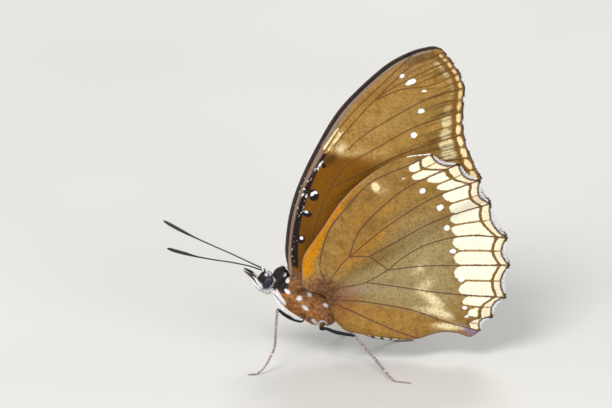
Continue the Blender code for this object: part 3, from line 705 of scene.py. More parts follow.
# Hindwing: how far the two cream bars of each cell reach in from the margin, and how deep the
# crescents between them and the edge are, beside the veins and how much more amid a cell.
BAR_REACH = [
    (4.2, 4.9), (4.5, 5.2), (6.1, 6.4), (6.9, 7.5), (8.2, 8.7), (8.65, 7.35), (5.7, 3.8),
    (2.4, 2.4),
]
BAR_GAP = 0.15
CRESCENT_DEPTH = (1.45, 0.95)
CRESCENT_TO_EDGE = 0.3
CRESCENT_TO_VEIN = 0.12
CRESCENT_TO_FOLD = 0.04
BAND_WIDTH = 0.5
BAND_SOFTNESS = 0.1
HINDWING_FOLD_HALF = 0.09
HINDWING_RIM = 0.13
# A white line along the costa, its width and where it starts.
COSTAL_LINE = 0.12
COSTAL_LINE_START = 14.5
# White spots: centre, length, width and turn in degrees.
HINDWING_SPOTS = [
    ((14.2, 30.85), 0.3, 0.3, 0), ((17.25, 28.8), 0.95, 0.9, 40), ((20.1, 26.1), 1.1, 0.95, 30),
    ((21.4, 22.3), 0.95, 0.95, 0), ((22.5, 18.4), 0.95, 0.75, 0), ((24.0, 13.6), 0.95, 0.7, 0),
    ((24.8, 8.95), 0.8, 0.65, 0), ((25.2, 7.5), 0.6, 0.35, 0),
]
# Forewing margin: values at some of its half cells, counted from the apex. They are the middle and
# the half depth of the small bar by the edge and of the paler patch within. PATCH_PALE says for
# every half cell how pale the patch is.
HALF_CELLS = (0, 5, 8, 11, 13)
BAR_MIDDLE = (0.85, 0.85, 0.95, 1.1, 1.2)
BAR_HALF = (0.2, 0.26, 0.34, 0.42, 0.45)
PATCH_MIDDLE = (2.2, 2.1, 2.8, 3.3, 3.2)
PATCH_HALF = (0.5, 0.5, 0.8, 1.25, 0.8)
PATCH_PALE = (0.1, 0.4, 0.3, 0.4, 0.15, 0.2, 0.1, 0.2, 0.65, 0.5, 1.0, 0.9, 0.2, 0.0)
BAR_TO_EDGE = 0.15
BAR_TO_VEIN = 0.14
LEAST_ROOM = 0.1
BROWN_LINE_HALF = 0.3
BROWN_LINE_GAP = 0.35
FOREWING_RIM = 0.1
# How far in the dark line between two veins runs, cell by cell.
FOREWING_FOLDS = (2.0, 3.0, 3.4, 6.6, 7.6, 3.4, 2.0)
FOREWING_FOLD_HALF = 0.06
# Forewing: white spots beyond the cell, and the white spots in black rings along the costa.
FOREWING_SPOTS = [
    ((13.25, 47.35), 0.75, 0.6, 35), ((14.75, 46.4), 1.75, 0.75, 28), ((16.8, 44.95), 0.6, 0.4, 15),
    ((16.5, 41.6), 1.0, 0.75, 10), ((15.55, 37.6), 1.0, 0.95, 10),
]
RINGED_SPOTS = [
    ((-1.05, 20.15), 0.6, 0.6, 0), ((-0.5, 24.45), 0.75, 0.42, -10), ((0.23, 24.4), 0.25, 0.2, 0),
    ((0.3, 27.45), 0.7, 0.5, 50), ((0.78, 27.75), 0.6, 0.45, 0), ((1.25, 32.35), 0.85, 0.33, 62),
    ((0.95, 31.8), 0.5, 0.22, 20), ((-1.2, 27.3), 0.55, 0.2, 62), ((-0.66, 27.0), 0.4, 0.2, 80),
    ((-1.03, 28.25), 0.22, 0.2, 0), ((-0.5, 29.6), 0.26, 0.22, 0), ((-1.82, 25.06), 0.22, 0.22, 0),
]
BLACK_PATCHES = [
    ((-1.1, 19.9), 1.25, 1.4, 0), ((-0.4, 24.2), 1.7, 1.1, -10), ((0.5, 27.3), 1.6, 2.0, 10),
    ((1.9, 32.2), 0.7, 0.9, 20),
]
# Cream streaks by the costa: start, end and width.
COSTAL_STREAKS = [
    ((1.8, 35.1), (3.8, 38.3), 0.42), ((2.45, 34.75), (4.1, 37.7), 0.3),
    ((2.8, 34.7), (4.5, 37.9), 0.22),
]
# The black band along the costa, and the heights between which white specks lie on it.
BLACK_BAND_START = (14.5, 16.5)
BLACK_BAND_END = 34.3
SPECKLES = 80
SPECKLE_HEIGHTS = (16.0, 33.0)
# A grey stripe along the costa: its width at some heights.
STRIPE_HEIGHTS = (33, 38, 44, 52)
STRIPE_WIDTHS = (1.2, 0.8, 0.5, 0.35)
# Soft patches of colour on the undersides: strength, centre, length, width and turn.
HINDWING_GLOWS = {
    "root": [(1.1, (4.0, 10.5), 9, 6.5, -10)],
    "warm": [(0.35, (6.0, 16.0), 8, 4, 45), (0.4, (10.2, 20.6), 7, 2.2, 40),
             (0.3, (8.0, 24.5), 12, 4, 55), (0.3, (12.5, 26.0), 5, 2.4, 45)],
    "grey": [(1.0, (12, 12.3), 20, 6, -6), (1.0, (18.5, 17), 12, 16, 10)],
    "pale": [(0.6, (17.6, 15.5), 3.4, 1.7, 60), (0.6, (18.6, 12.7), 3.6, 1.9, 40),
             (1.1, (19.8, 10.2), 4.2, 1.5, -35), (0.4, (17.9, 8.4), 3.4, 1.4, -20),
             (1.2, (20.9, 8.0), 4.6, 1.3, -20), (1.2, (22.4, 5.7), 4.6, 1.0, -5),
             (2.2, (9.9, 29.3), 0.9, 1.3, 20), (0.35, (11.2, 28.8), 2.4, 2, 60)],
    "dark": [(0.6, (9.0, 27.4), 3.0, 1.6, 45), (0.5, (9.6, 23.0), 5, 2.6, 60),
             (0.6, (6.1, 26.6), 3.6, 1.8, 55), (0.3, (12.3, 18.2), 4.0, 2.6, 0),
             (0.4, (24, 7), 3, 2.5, 40)],
    "violet": [(1.0, (25.6, 5.2), 3.4, 1.1, -22), (0.3, (8, 11.8), 12, 2.6, 5)],
}
FOREWING_GLOWS = {
    "root": [(1.0, (-1.0, 13.5), 4, 6, 0)],
    "warm": [(0.4, (9, 44), 12, 3, 45)],
    "grey": [(0.5, (15, 41), 16, 9, 30)],
    "pale": [(0.9, (4.4, 35.2), 1.9, 1.6, 50), (0.3, (6.8, 34.5), 3.4, 1.4, 20),
             (0.2, (10.4, 34.4), 4.0, 2.0, 15), (0.15, (9, 38), 9, 5, 35)],
    "dark": [(1.1, (2.9, 33.4), 3.0, 1.8, 45), (0.45, (9.5, 31.6), 9, 2.4, 30),
             (0.55, (18.5, 36.2), 8, 3.2, 25), (0.3, (19, 42.5), 6, 4, 25),
             (0.45, (-0.5, 21.0), 3, 9, 0)],
    "violet": [(0.35, (14, 48.5), 10, 4, 40)],
}
# How strongly fine dark lines between the veins show near the outer margin, and how far in.
LINED = {"forewing": 1.0, "hindwing": 0.35}
LINED_REACH = {"forewing": 9.0, "hindwing": 4.0}
# Fringe: half lengths of its white stretches on the forewing, half their share of a cell on the
# hindwing, how deep the lashes root, their width and how short the forewing's dark ones are.
FRINGE_WHITE = (0.2, 0.4, 0.42, 0.42, 0.45, 0.85, 0.9)
FRINGE_WHITE_SHARE = 0.38
LASH_ROOT = 0.08
LASH_WIDTH = 0.1
DARK_LASH = 0.62
# Where hair covers the wings' roots: its middle and spread, and the place that it lies away from.
BASE_HAIR = {"forewing": ((-1.2, 12.6), (0.8, 0.8)), "hindwing": ((2.0, 11.2), (1.3, 1.3))}
BASE_ROOT = (0.0, 10.5)
BASE_HAIR_WIDTH = 0.06


def hindwing_bars(wing, crescent_end):
    """Two cream bars in each cell, with round inner ends, beyond the crescents and a brown band."""
    cream = np.full(len(wing.cell), OUTSIDE)
    half_width = wing.width / 4 - BAR_GAP
    for cell, reaches in enumerate(BAR_REACH):
        for middle, reach in zip(HALF_MIDDLES, reaches):
            beyond = np.maximum(wing.depth - (reach - half_width), 0)
            bar = half_width - np.hypot((wing.share - middle) * wing.width, beyond)
            bar = np.minimum(bar, wing.depth - crescent_end - BAND_WIDTH)
            cream = np.where(wing.cell == cell, np.maximum(cream, bar), cream)
    return cream


def hindwing_crescents(wing, crescent_end):
    """Two cream crescents in each cell, between the edge and the brown band."""
    mark = np.minimum(crescent_end - wing.depth, wing.to_edge - CRESCENT_TO_EDGE)
    to_side = np.minimum(wing.share, 1 - wing.share) * wing.width
    mark = np.minimum(mark, to_side - CRESCENT_TO_VEIN)
    return np.minimum(mark, np.abs(wing.share - 0.5) * wing.width - CRESCENT_TO_FOLD)


def hindwing_marks(wing, flat, gaps):
    """The hindwing's colour fields on both faces."""
    x, z = flat.T
    in_fan = (wing.cell >= 0) & (wing.cell < len(BAR_REACH))
    crescent_end = CRESCENT_DEPTH[0] + CRESCENT_DEPTH[1] * wing.arch
    cream = hindwing_bars(wing, crescent_end)
    cream = np.where(in_fan, np.maximum(cream, hindwing_crescents(wing, crescent_end)), cream)
    from_band = np.abs(wing.depth - crescent_end - BAND_WIDTH / 2)
    brown = np.where(in_fan, BAND_WIDTH / 2 + BAND_SOFTNESS - from_band, OUTSIDE)
    bar_ends = np.array([max(pair) for pair in BAR_REACH] + [0.0])
    fold_end = bar_ends[np.clip(wing.cell, 0, len(BAR_REACH))] + 0.3
    fold = HINDWING_FOLD_HALF - np.abs(wing.share - 0.5) * wing.width
    fold = np.where(in_fan & (wing.depth < fold_end), fold, OUTSIDE)
    costal_line = np.minimum(COSTAL_LINE - wing.to_costa, x - COSTAL_LINE_START)
    white = np.maximum(spots(flat, HINDWING_SPOTS), np.clip(costal_line, -1, 1))
    black = np.where(in_fan, HINDWING_RIM - wing.to_edge, OUTSIDE)
    below_2a = ease(gaps["2A"][0], 0.1, 0.8) * ~gaps["2A"][1]
    above_sc = ease(gaps["Sc"][0], 0.05, 0.3) * gaps["Sc"][1]
    costal = fade(wing.to_costa, 1.2, 2.4) * ease(z, 13.5, 15.5) * fade(z, 24, 32)
    soft = {name: glows(flat, patches) for name, patches in HINDWING_GLOWS.items()}
    soft["warm"] += 0.95 * above_sc * costal + 0.2 * below_2a
    soft["grey"] = np.clip(soft["grey"], 0, 1) * (1 - below_2a)
    soft["violet"] += 0.5 * fade(wing.to_inner, 0, 0.5) * ease(x, 16, 20)
    return {**soft, "cream": cream, "brown": brown, "fold": fold, "white": white, "black": black,
            "stripe": np.minimum(0.2 - wing.to_costa, 32 - z),
            "buff": 0.35 * ease(crescent_end - wing.depth, 0.0, 0.3)}


def forewing_margin(wing, cell, in_fan):
    """The margin's small cream bars, the brown line beyond them and the paler patches within."""
    half_cell = 2 * cell + (wing.share > 0.5)
    middle = np.where(wing.share > 0.5, HALF_MIDDLES[1], HALF_MIDDLES[0])
    across = np.abs(wing.share - middle) * wing.width
    bar_middle = np.interp(half_cell, HALF_CELLS, BAR_MIDDLE)
    bar_half = np.interp(half_cell, HALF_CELLS, BAR_HALF)
    room = np.maximum(wing.width / 4 - BAR_TO_VEIN, LEAST_ROOM)
    bar = (1 - np.hypot((wing.depth - bar_middle) / bar_half, across / room)) * bar_half
    cream = np.where(in_fan, np.minimum(bar, wing.to_edge - BAR_TO_EDGE), OUTSIDE)
    line = BROWN_LINE_HALF - np.abs(wing.depth - bar_middle - bar_half - BROWN_LINE_GAP)
    brown = np.where(in_fan, np.maximum(line, BROWN_LINE_HALF - wing.to_edge), OUTSIDE)
    patch_middle = np.interp(half_cell, HALF_CELLS, PATCH_MIDDLE)
    patch_half = np.interp(half_cell, HALF_CELLS, PATCH_HALF)
    off = np.hypot((wing.depth - patch_middle) / patch_half,
                   across / np.maximum(wing.width / 4, LEAST_ROOM))
    return cream, brown, np.array(PATCH_PALE)[half_cell] * fade(off, 0.3, 1.5) * in_fan


def black_band(flat, gaps):
    """Black between the first two veins behind the costa, with wider patches on it."""
    z = flat[:, 1]
    between = ease(gaps["Sc"][0], 0.0, 0.15) * ~gaps["Sc"][1]
    between = between * ease(gaps["R5"][0], 0.0, 0.1) * gaps["R5"][1]
    between = between * ease(z, *BLACK_BAND_START)
    black = np.where(z < BLACK_BAND_END, between * 0.6 - 0.3, OUTSIDE)
    return np.maximum(black, spots(flat, BLACK_PATCHES))


def with_speckles(flat, white):
    """Tiny white specks behind the first vein, added to the white marks."""
    random = np.random.default_rng(11)
    line = smooth_curve(FOREWING_VEINS["Sc"], 0.1)
    low, high = SPECKLE_HEIGHTS
    line = line[(line[:, 1] > low) & (line[:, 1] < high)]
    for index in random.integers(0, len(line), SPECKLES):
        middle = line[index] + (random.uniform(0.05, 0.9), random.uniform(-0.3, 0.3))
        size = random.uniform(0.1, 0.2)
        white = np.maximum(white, spot(flat, middle, size, size * 0.8) - 0.02)
    return white


def forewing_marks(wing, flat, gaps):
    """The forewing's colour fields on both faces."""
    x, z = flat.T
    in_fan = (wing.cell >= 0) & (wing.cell < len(wing.names) - 1)
    cell = np.clip(wing.cell, 0, len(wing.names) - 2)
    cream, brown, patch = forewing_margin(wing, cell, in_fan)
    for start, end, thick in COSTAL_STREAKS:
        cream = np.maximum(cream, streak(flat, start, end, thick))
    fold = FOREWING_FOLD_HALF - np.abs(wing.share - 0.5) * wing.width
    fold = np.minimum(fold, (np.array(FOREWING_FOLDS)[cell] - wing.depth) * 0.1)
    fold = np.where(in_fan, fold, OUTSIDE)
    white = with_speckles(flat, spots(flat, FOREWING_SPOTS + RINGED_SPOTS))
    rim = np.where(in_fan, FOREWING_RIM - wing.to_edge, OUTSIDE)
    soft = {name: glows(flat, patches) for name, patches in FOREWING_GLOWS.items()}
    soft["warm"] += fade(z, 33.0, 34.6) * fade(x - 0.62 * (34.2 - z), 5, 12)
    soft["pale"] += 1.9 * patch
    stripe = np.where(gaps["Sc"][1], gaps["Sc"][0], -gaps["Sc"][0]) + ease(z, 36, 44) * 3
    stripe = np.minimum(stripe, np.interp(z, STRIPE_HEIGHTS, STRIPE_WIDTHS) - wing.to_costa)
    return {**soft, "cream": cream, "brown": brown, "fold": fold, "white": white,
            "black": np.maximum(black_band(flat, gaps), rim), "stripe": stripe,
            "buff": ease(z, 38, 43)}


UNDERSIDE = {
    "forewing": {
        "ground": (linear(184, 142, 74), linear(144, 104, 42)), "warm": linear(122, 76, 0),
        "grey": linear(150, 124, 68), "pale": linear(226, 206, 156), "dark": linear(84, 54, 10),
        "violet": linear(150, 122, 104), "stripe": linear(136, 116, 100),
        "brown": linear(116, 82, 34), "cream": linear(244, 222, 170), "fold": linear(84, 58, 12),
        "vein": linear(100, 66, 34),
    },
    "hindwing": {
        "ground": (linear(166, 130, 68), linear(132, 96, 44)), "warm": linear(194, 126, 0),
        "grey": linear(160, 142, 96), "pale": linear(236, 218, 170), "dark": linear(108, 74, 26),
        "violet": linear(136, 120, 146), "stripe": linear(164, 122, 92),
        "brown": linear(118, 88, 34), "cream": linear(250, 243, 218), "fold": linear(136, 104, 46),
        "vein": linear(88, 60, 48),
    },
}
BLACK = linear(30, 22, 26)
WHITE = linear(250, 248, 250)
BUFF = linear(226, 188, 130)
ROOT_BROWN = linear(142, 94, 52)
# Depth of the bump from scales and of the crease amid each cell, in metres and millimetres.
SCALE_BUMP = 0.00004
CREASE_DEPTH = 0.05
CREASE_WIDTH = 0.22


def wing_texture(paint):
    """Scales, lines along the veins, mottling and speckle shared by both faces of the wings."""
    scales = paint.cells(paint.here(), WING_SCALES, 0.9)
    flow = paint.place_in(paint.vector_field("flow"), (2.6, 0.12, 1.0))
    lines = paint.noise(flow, 1.0, 3.0, 0.6)
    mottle = paint.noise(paint.here(), WING_MOTTLE, 6.0, 0.75)
    speckle = paint.noise(paint.here(), WING_SPECKLE, 3.0, 0.8)
    return scales, lines, mottle, speckle


def underside_material(kind):
    """The faces that show: soft tints first, then lines, and the sharp marks over them."""
    look = {**UNDERSIDE[kind], "root": ROOT_BROWN}
    paint = Paint(kind + "_underside", Specular_IOR_Level=0.15)
    scales, lines, mottle, speckle = wing_texture(paint)
    shake = paint.step(speckle, 0.3, 0.7, -0.07, 0.07)

    def mark(name, soft):
        ragged = paint.math("ADD", paint.field(name), shake)
        return paint.step(ragged, -soft, soft)

    def tint(name, colour, target):
        amount = paint.math("MULTIPLY", paint.field(name), paint.step(speckle, 0.3, 0.7, 0.7, 1.2))
        return paint.mix(paint.step(amount, 0.0, 1.0), colour, target)

    colour = paint.mix(paint.step(mottle, 0.25, 0.75), *look["ground"])
    for name in ("grey", "root", "warm", "dark", "violet", "pale"):
        colour = tint(name, colour, look[name])
    lined = paint.math("MULTIPLY", paint.step(lines, 0.54, 0.4), paint.field("lined"))
    colour = paint.darken(lined, colour, 0.48)
    colour = paint.darken(paint.step(speckle, 0.55, 0.35), colour, 0.72)
    colour = paint.mix(mark("stripe", 0.12), colour, look["stripe"])
    colour = paint.mix(mark("brown", 0.35), colour, look["brown"])
    cream = paint.mix(paint.field("buff"), look["cream"], BUFF)
    colour = paint.mix(mark("cream", 0.09), colour, cream)
    colour = paint.mix(mark("fold", 0.09), colour, look["fold"])
    colour = paint.mix(paint.step(paint.field("vein"), 0.15, 0.04, 0.0, 0.9), colour, look["vein"])
    colour = paint.mix(mark("black", 0.07), colour, BLACK)
    colour = paint.mix(mark("white", 0.06), colour, WHITE)
    grain = paint.grey_of(scales.outputs["Color"])
    colour = paint.darken(paint.step(grain, 0.5, 0.2), colour, 0.84)
    rough = paint.step(grain, 0.0, 1.0, 0.55, 0.85)
    height = paint.math("ADD", scales.outputs["Distance"], paint.math("MULTIPLY", lines, 0.8))
    return paint.finish(colour, rough, paint.bump(height, SCALE_BUMP, 0.5))


def upperside_material(kind):
    """The faces turned to the other wings: velvety black-brown with a faint blue sheen."""
    paint = Paint(kind + "_upperside", Specular_IOR_Level=0.35, Sheen_Weight=0.4)
    scales, lines, mottle, speckle = wing_texture(paint)
    colour = paint.mix(paint.step(mottle, 0.3, 0.7), linear(38, 26, 24), linear(58, 40, 32))
    colour = paint.mix(paint.step(lines, 0.5, 0.8, 0.0, 0.5), colour, linear(40, 44, 84))
    colour = paint.mix(paint.step(paint.field("vein"), 0.15, 0.04), colour, linear(24, 18, 18))
    colour = paint.mix(paint.step(paint.field("cream"), -0.05, 0.4, 0.0, 0.55), colour,
                       linear(196, 196, 214))
    colour = paint.mix(paint.step(paint.field("white"), -0.05, 0.1), colour, WHITE)
    grain = paint.grey_of(scales.outputs["Color"])
    rough = paint.step(grain, 0.0, 1.0, 0.45, 0.8)
    height = paint.math("ADD", scales.outputs["Distance"], paint.math("MULTIPLY", speckle, 0.4))
    return paint.finish(colour, rough, paint.bump(height, SCALE_BUMP, 0.5))


def wing_relief(wing):
    """How far the outer face stands off the middle of the membrane, and the membrane's swell."""
    ridge = np.clip(1 - wing.to_vein / VEIN_WIDTH, 0, 1)
    ridge = VEIN_RIDGE * ridge * ridge * (3 - 2 * ridge)
    rim = np.minimum(wing.to_edge, np.minimum(wing.to_costa, wing.to_inner))
    half = MEMBRANE * (0.4 + 0.6 * ease(rim, 0, 0.5)) + ridge
    swell = SWELL * (1 - np.exp(-(wing.to_vein / SWELL_WIDTH) ** 2)) * ease(rim, 0, 1.2)
    crease = CREASE_DEPTH * np.exp(-((wing.share - 0.5) * wing.width / CREASE_WIDTH) ** 2)
    crease = crease * fade(wing.depth, 3, 7)
    return half, swell - crease


def far_shift(heights):
    """How far the right forewing stands forward of the left one."""
    return FAR_FOREWING_SHIFT * ease(heights, FAR_SHIFT_START, FAR_SHIFT_END)


def wing_point(wing, side, flat, out):
    """Places on a wing, at a distance from the middle of its membrane."""
    shift = far_shift(flat[:, 1]) if wing.kind == "forewing" and side == RIGHT else 0.0
    return np.stack((flat[:, 0] + shift, side * (wing.middle_y(flat) + out), flat[:, 1]), axis=1)


def wing_sheet(flat, corner, span):
    """Places on the left half of the OFBake map."""
    return (flat - corner) / span * (0.49, 0.98) + (0.005, 0.01)


def make_wing(wing, side, word, flat, faces, marks, materials):
    """A membrane with two faces: the underside is turned outward, the upperside inward."""
    half, swell = wing_relief(wing)
    outer = wing_point(wing, side, flat, swell + half)
    under = wing_point(wing, side, flat, swell - half)
    count = len(flat)
    outward = faces if side == LEFT else faces[:, ::-1]
    inward = faces[:, ::-1] + count if side == LEFT else faces + count
    edges = np.vstack((faces[:, (0, 1)], faces[:, (1, 2)], faces[:, (2, 0)]))
    pairs = {tuple(edge) for edge in edges.tolist()}
    rim = [(b, a, a + count, b + count) for a, b in pairs if (b, a) not in pairs]
    rim.sort()
    polygons = outward.tolist() + inward.tolist() + rim
    name = wing.kind + "_" + word
    piece = add_piece(name + "_membrane", np.vstack((outer, under)), polygons, materials,
                      wing.kind)
    face_outward(piece)
    slots = np.zeros(len(polygons), np.int32)
    slots[len(faces):2 * len(faces)] = 1
    piece.data.polygons.foreach_set("material_index", slots)
    for field, values in marks.items():
        add_field(piece, field, np.tile(np.clip(values, -2, 2), 2))
    add_field(piece, "vein", np.tile(np.minimum(wing.to_vein, 2), 2))
    across = wing.cell * 7.0 + wing.share * wing.width
    flow = np.stack((across, wing.depth, np.zeros(count)), axis=1)
    add_field(piece, "flow", np.tile(flow, (2, 1)))
    low = flat.min(axis=0)
    span = (flat.max(axis=0) - low).max() * 1.02
    sheet = wing_sheet(flat, low, span)
    add_bake_map(piece, np.vstack((sheet, sheet + (0.5, 0.0))))
    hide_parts(name)


def add_fringe(wing, side, word, material):
    """Lashes along the outer margin: white amid each cell, dark at the veins."""
    random = np.random.default_rng(31)
    roots = []
    fields = {"white": [], "dark": [], "tone": [], "length": [], "lean": []}
    for cell, (here, there) in enumerate(zip(wing.tips, wing.tips[1:])):
        chord = there - here
        size = float(np.linalg.norm(chord))
        inward = np.array((chord[1], -chord[0])) / size
        count = round(size / LASH_SPACING)
        t = (np.arange(count) + random.random(count)) / count
        arch = np.sin(np.pi * t)
        depth = SCALLOP[wing.kind] * arch + LASH_ROOT
        roots.append(here + np.outer(t, chord) + np.outer(depth, inward))
        reach = TIP_INSET + (SCALLOP[wing.kind] - FRINGE_SCALLOP[wing.kind]) * arch
        if wing.kind == "forewing":
            white = FRINGE_WHITE[cell] - np.abs(t - 0.5) * size
            reach = reach * np.where(white > 0, 1.0, DARK_LASH)
        else:
            white = (FRINGE_WHITE_SHARE - np.abs(t - 0.5)) * size
        fields["white"].append(white + random.uniform(-0.08, 0.08, count))
        fields["dark"].append(np.full(count, 0.8))
        fields["tone"].append(random.random(count))
        fields["length"].append((reach + 0.06) * random.uniform(0.75, 0.98, count))
        lean = np.tile(-inward, (count, 1)) + random.normal(0, 0.16, (count, 2))
        fields["lean"].append(lean)
    flat = np.vstack(roots)
    fields = {name: np.concatenate(values) for name, values in fields.items()}
    length = fields.pop("length")
    lean = fields.pop("lean")
    out = random.uniform(-0.05, 0.05, len(flat))
    places = wing_point(wing, side, flat, out)
    normals = np.tile((0.0, float(side), 0.0), (len(flat), 1))
    lie = np.stack((lean[:, 0], np.zeros(len(flat)), lean[:, 1]), axis=1)
    low = np.array(wing.tips).min(axis=0) - 5
    add_tufts(wing.kind + "_fringe_" + word, places, normals, lie, np.zeros(len(flat)), length,
              np.full(len(flat), LASH_WIDTH), fields, material, wing.kind,
              wing_sheet(flat, low, 60), 0.0)


def add_base_hair(wing, side, word, material):
    """Brown hair on the root of a wing, lying outward, so that the root shows no edge."""
    random = np.random.default_rng(41)
    middle, reach = BASE_HAIR[wing.kind]
    flat = np.array(middle) + random.normal(0, 1, (BASE_HAIRS * 2, 2)) * np.array(reach)
    flat = flat[inside(flat, wing.outline(1.0))][:BASE_HAIRS]
    root = np.array(BASE_ROOT)
    away = unit(flat - root)
    lean = away + random.normal(0, 0.22, flat.shape)
    lie = np.stack((lean[:, 0], np.zeros(len(flat)), lean[:, 1]), axis=1)
    normals = np.tile((0.0, float(side), 0.0), (len(flat), 1))
    distance = np.linalg.norm(flat - root, axis=1)
    fields = {"white": np.full(len(flat), -1.0), "dark": 0.1 + 0.3 * random.random(len(flat)),
              "tone": 0.65 * random.random(len(flat))}
    length = random.uniform(0.5, 1.1, len(flat)) * np.clip(1.25 - distance / 9, 0.4, 1)
    add_tufts(wing.kind + "_base_hair_" + word, wing_point(wing, side, flat, 0.05), normals, lie,
              random.uniform(0.02, 0.14, len(flat)), length,
              np.full(len(flat), BASE_HAIR_WIDTH), fields, material, wing.kind,
              wing_sheet(flat, np.array((-5.0, 0.0)), 60))


def make_wings():
    hair = fur_material("wing_hair")
    for wing, marker in ((FOREWING, forewing_marks), (HINDWING, hindwing_marks)):
        flat, faces = wing.triangulate()
        gaps = wing.locate(flat)
        marks = marker(wing, flat, gaps)
        reach = LINED_REACH[wing.kind]
        marks["lined"] = fade(wing.depth, 0.4 * reach, reach) * LINED[wing.kind]
        materials = [underside_material(wing.kind), upperside_material(wing.kind)]
        for side, word in SIDES:
            make_wing(wing, side, word, flat, faces, marks, materials)
            add_fringe(wing, side, word, hair)
            add_base_hair(wing, side, word, hair)


def to_thorax(points):
    """Distances along the thorax's axis and above it."""
    dx = points[:, 0] - THORAX_MIDDLE[0]
    dz = points[:, 2] - THORAX_MIDDLE[1]
    cos, sin = math.cos(THORAX_TILT), math.sin(THORAX_TILT)
    return np.stack((dx * cos - dz * sin, dx * sin + dz * cos), axis=1)


def ring(middle, across, upward, half_width, half_height, sides):
    angles = 2 * np.pi * np.arange(sides) / sides
    flat = np.cos(angles)[:, None] * np.asarray(across) * half_width
    return np.asarray(middle) + flat + np.sin(angles)[:, None] * np.asarray(upward) * half_height


def loft(rings):
    """A closed body through rings with equal numbers of points."""
    sides = len(rings[0])
    vertices = np.vstack(rings + [rings[0].mean(axis=0)[None], rings[-1].mean(axis=0)[None]])
    faces = []
    for row in range(len(rings) - 1):
        start = row * sides
        for side in range(sides):
            after = (side + 1) % sides
            faces.append((start + side, start + after, start + sides + after,
                          start + sides + side))
    last = (len(rings) - 1) * sides
    for side in range(sides):
        after = (side + 1) % sides
        faces.append((side, len(vertices) - 2, after))
        faces.append((last + after, len(vertices) - 1, last + side))
    return vertices, faces


def tube(path, sides, flatness=1.0):
    """A round tube through points of x, y, z and radius."""
    path = np.asarray(path, float)
    ahead = np.gradient(path[:, :3], axis=0)
    ahead /= np.linalg.norm(ahead, axis=1)[:, None]
    across = np.cross(ahead, (0, 0, 1))
    weak = np.linalg.norm(across, axis=1) < 0.05
    across[weak] = (0, 1, 0)
    across /= np.linalg.norm(across, axis=1)[:, None]
    upward = np.cross(across, ahead)
    rings = [ring(point[:3], side, rise, point[3] * flatness, point[3], sides)
             for point, side, rise in zip(path, across, upward)]
    return loft(rings)


def axis_rings(sections, inset, sides, spacing=0.2):
    upward = thorax_way(0, 1)
    rings = []
    for along, top, bottom, half_width in smooth_curve(sections, spacing):
        middle = on_thorax(along, (top + bottom) / 2)
        half_height = max((top - bottom) / 2 - inset, 0.05)
        rings.append(ring(middle, (0, 1, 0), upward, max(half_width - inset, 0.05),
                          half_height, sides))
    return rings


def abdomen_rings(inset, sides):
    """Rings that step down a little at the end of each segment."""
    curve = smooth_curve(ABDOMEN_PATH, 0.12)
    rings = []
    for index, point in enumerate(curve):
        share = index / (len(curve) - 1)
        half_width, half_height = sizes_at(ABDOMEN_SECTIONS, share)
        before = curve[max(index - 1, 0)]
        after = curve[min(index + 1, len(curve) - 1)]
        slope = math.atan2(after[1] - before[1], after[0] - before[0])
        upward = (-math.sin(slope), 0, math.cos(slope))
        along = share * ABDOMEN_SEGMENTS % 1
        swell = 1 + 0.03 * along - 0.05 * math.exp(-((along - 1) / 0.06) ** 2)
        rings.append(ring((point[0], 0, point[1]), (0, 1, 0), upward,
                          (half_width - inset) * swell, (half_height - inset) * swell, sides))
    return rings


def blend(pieces, voxel, passes):
    """One closed skin around pieces that overlap, in millimetres."""
    vertices = []
    faces = []
    for piece_vertices, piece_faces in pieces:
        start = len(vertices)
        vertices += [tuple(v) for v in piece_vertices]
        faces += [[start + index for index in face] for face in piece_faces]
    mesh = bpy.data.meshes.new("rough")
    mesh.from_pydata(vertices, [], faces)
    rough = bpy.data.objects.new("rough", mesh)
    bpy.context.scene.collection.objects.link(rough)
    face_outward(rough)
    remesh = rough.modifiers.new("remesh", "REMESH")
    remesh.mode = "VOXEL"
    remesh.voxel_size = voxel
    soften = rough.modifiers.new("soften", "SMOOTH")
    soften.factor = 0.5
    soften.iterations = passes
    bpy.context.view_layer.update()
    made = rough.evaluated_get(bpy.context.evaluated_depsgraph_get()).to_mesh()
    points = np.empty(len(made.vertices) * 3)
    made.vertices.foreach_get("co", points)
    polygons = [tuple(face.vertices) for face in made.polygons]
    rough.evaluated_get(bpy.context.evaluated_depsgraph_get()).to_mesh_clear()
    bpy.data.objects.remove(rough)
    bpy.data.meshes.remove(mesh)
    return points.reshape(-1, 3), polygons


# Marks on the thorax and head: distance along the thorax's axis and above it, length, width, turn.
THORAX_SPOTS = [
    ((-3.83, 1.73), 0.68, 0.45, 60), ((-3.25, 0.33), 0.85, 0.5, -10), ((-1.22, 0.3), 0.75, 0.7, 0),
    ((-0.06, 1.51), 0.7, 0.5, -10), ((0.36, -0.66), 1.15, 0.55, -19), ((3.1, 1.02), 0.75, 0.5, -5),
    ((1.1, -2.7), 0.8, 0.45, -10), ((-4.75, 2.3), 0.6, 0.5, 0),
]
HEAD_SPOTS = [
    ((-7.3, 0.95), 0.6, 0.35, -60), ((-6.66, 1.2), 0.62, 0.4, -50),
]
THORAX_STREAKS = [
    ((-4.75, -0.5), (-2.65, -1.6), 0.4), ((-4.65, -1.25), (-2.6, -2.1), 0.4),
    ((2.5, -2.1), (3.75, -2.75), 0.5),
]
# A white ring by the hind leg: its middle, radius and half the width of its line.
WHITE_RING = ((4.15, -2.0), 0.46, 0.17)
# Along the thorax's axis the head's marks start at HEAD_START, and the neck's fur at NECK_START.
# The white hair of the chin is that below CHIN_TOP.
HEAD_START = -4.95
NECK_START = -4.6
CHIN_TOP = -0.6
CHIN_HAIR_WIDENING = 2.2
# White spots on the abdomen: their height over its middle, as a share of its half height, and
# their half length and half height, as shares of a segment and of its half height.
ABDOMEN_SPOT_HEIGHT = -0.5
ABDOMEN_SPOT_SIZE = (0.3, 0.2)
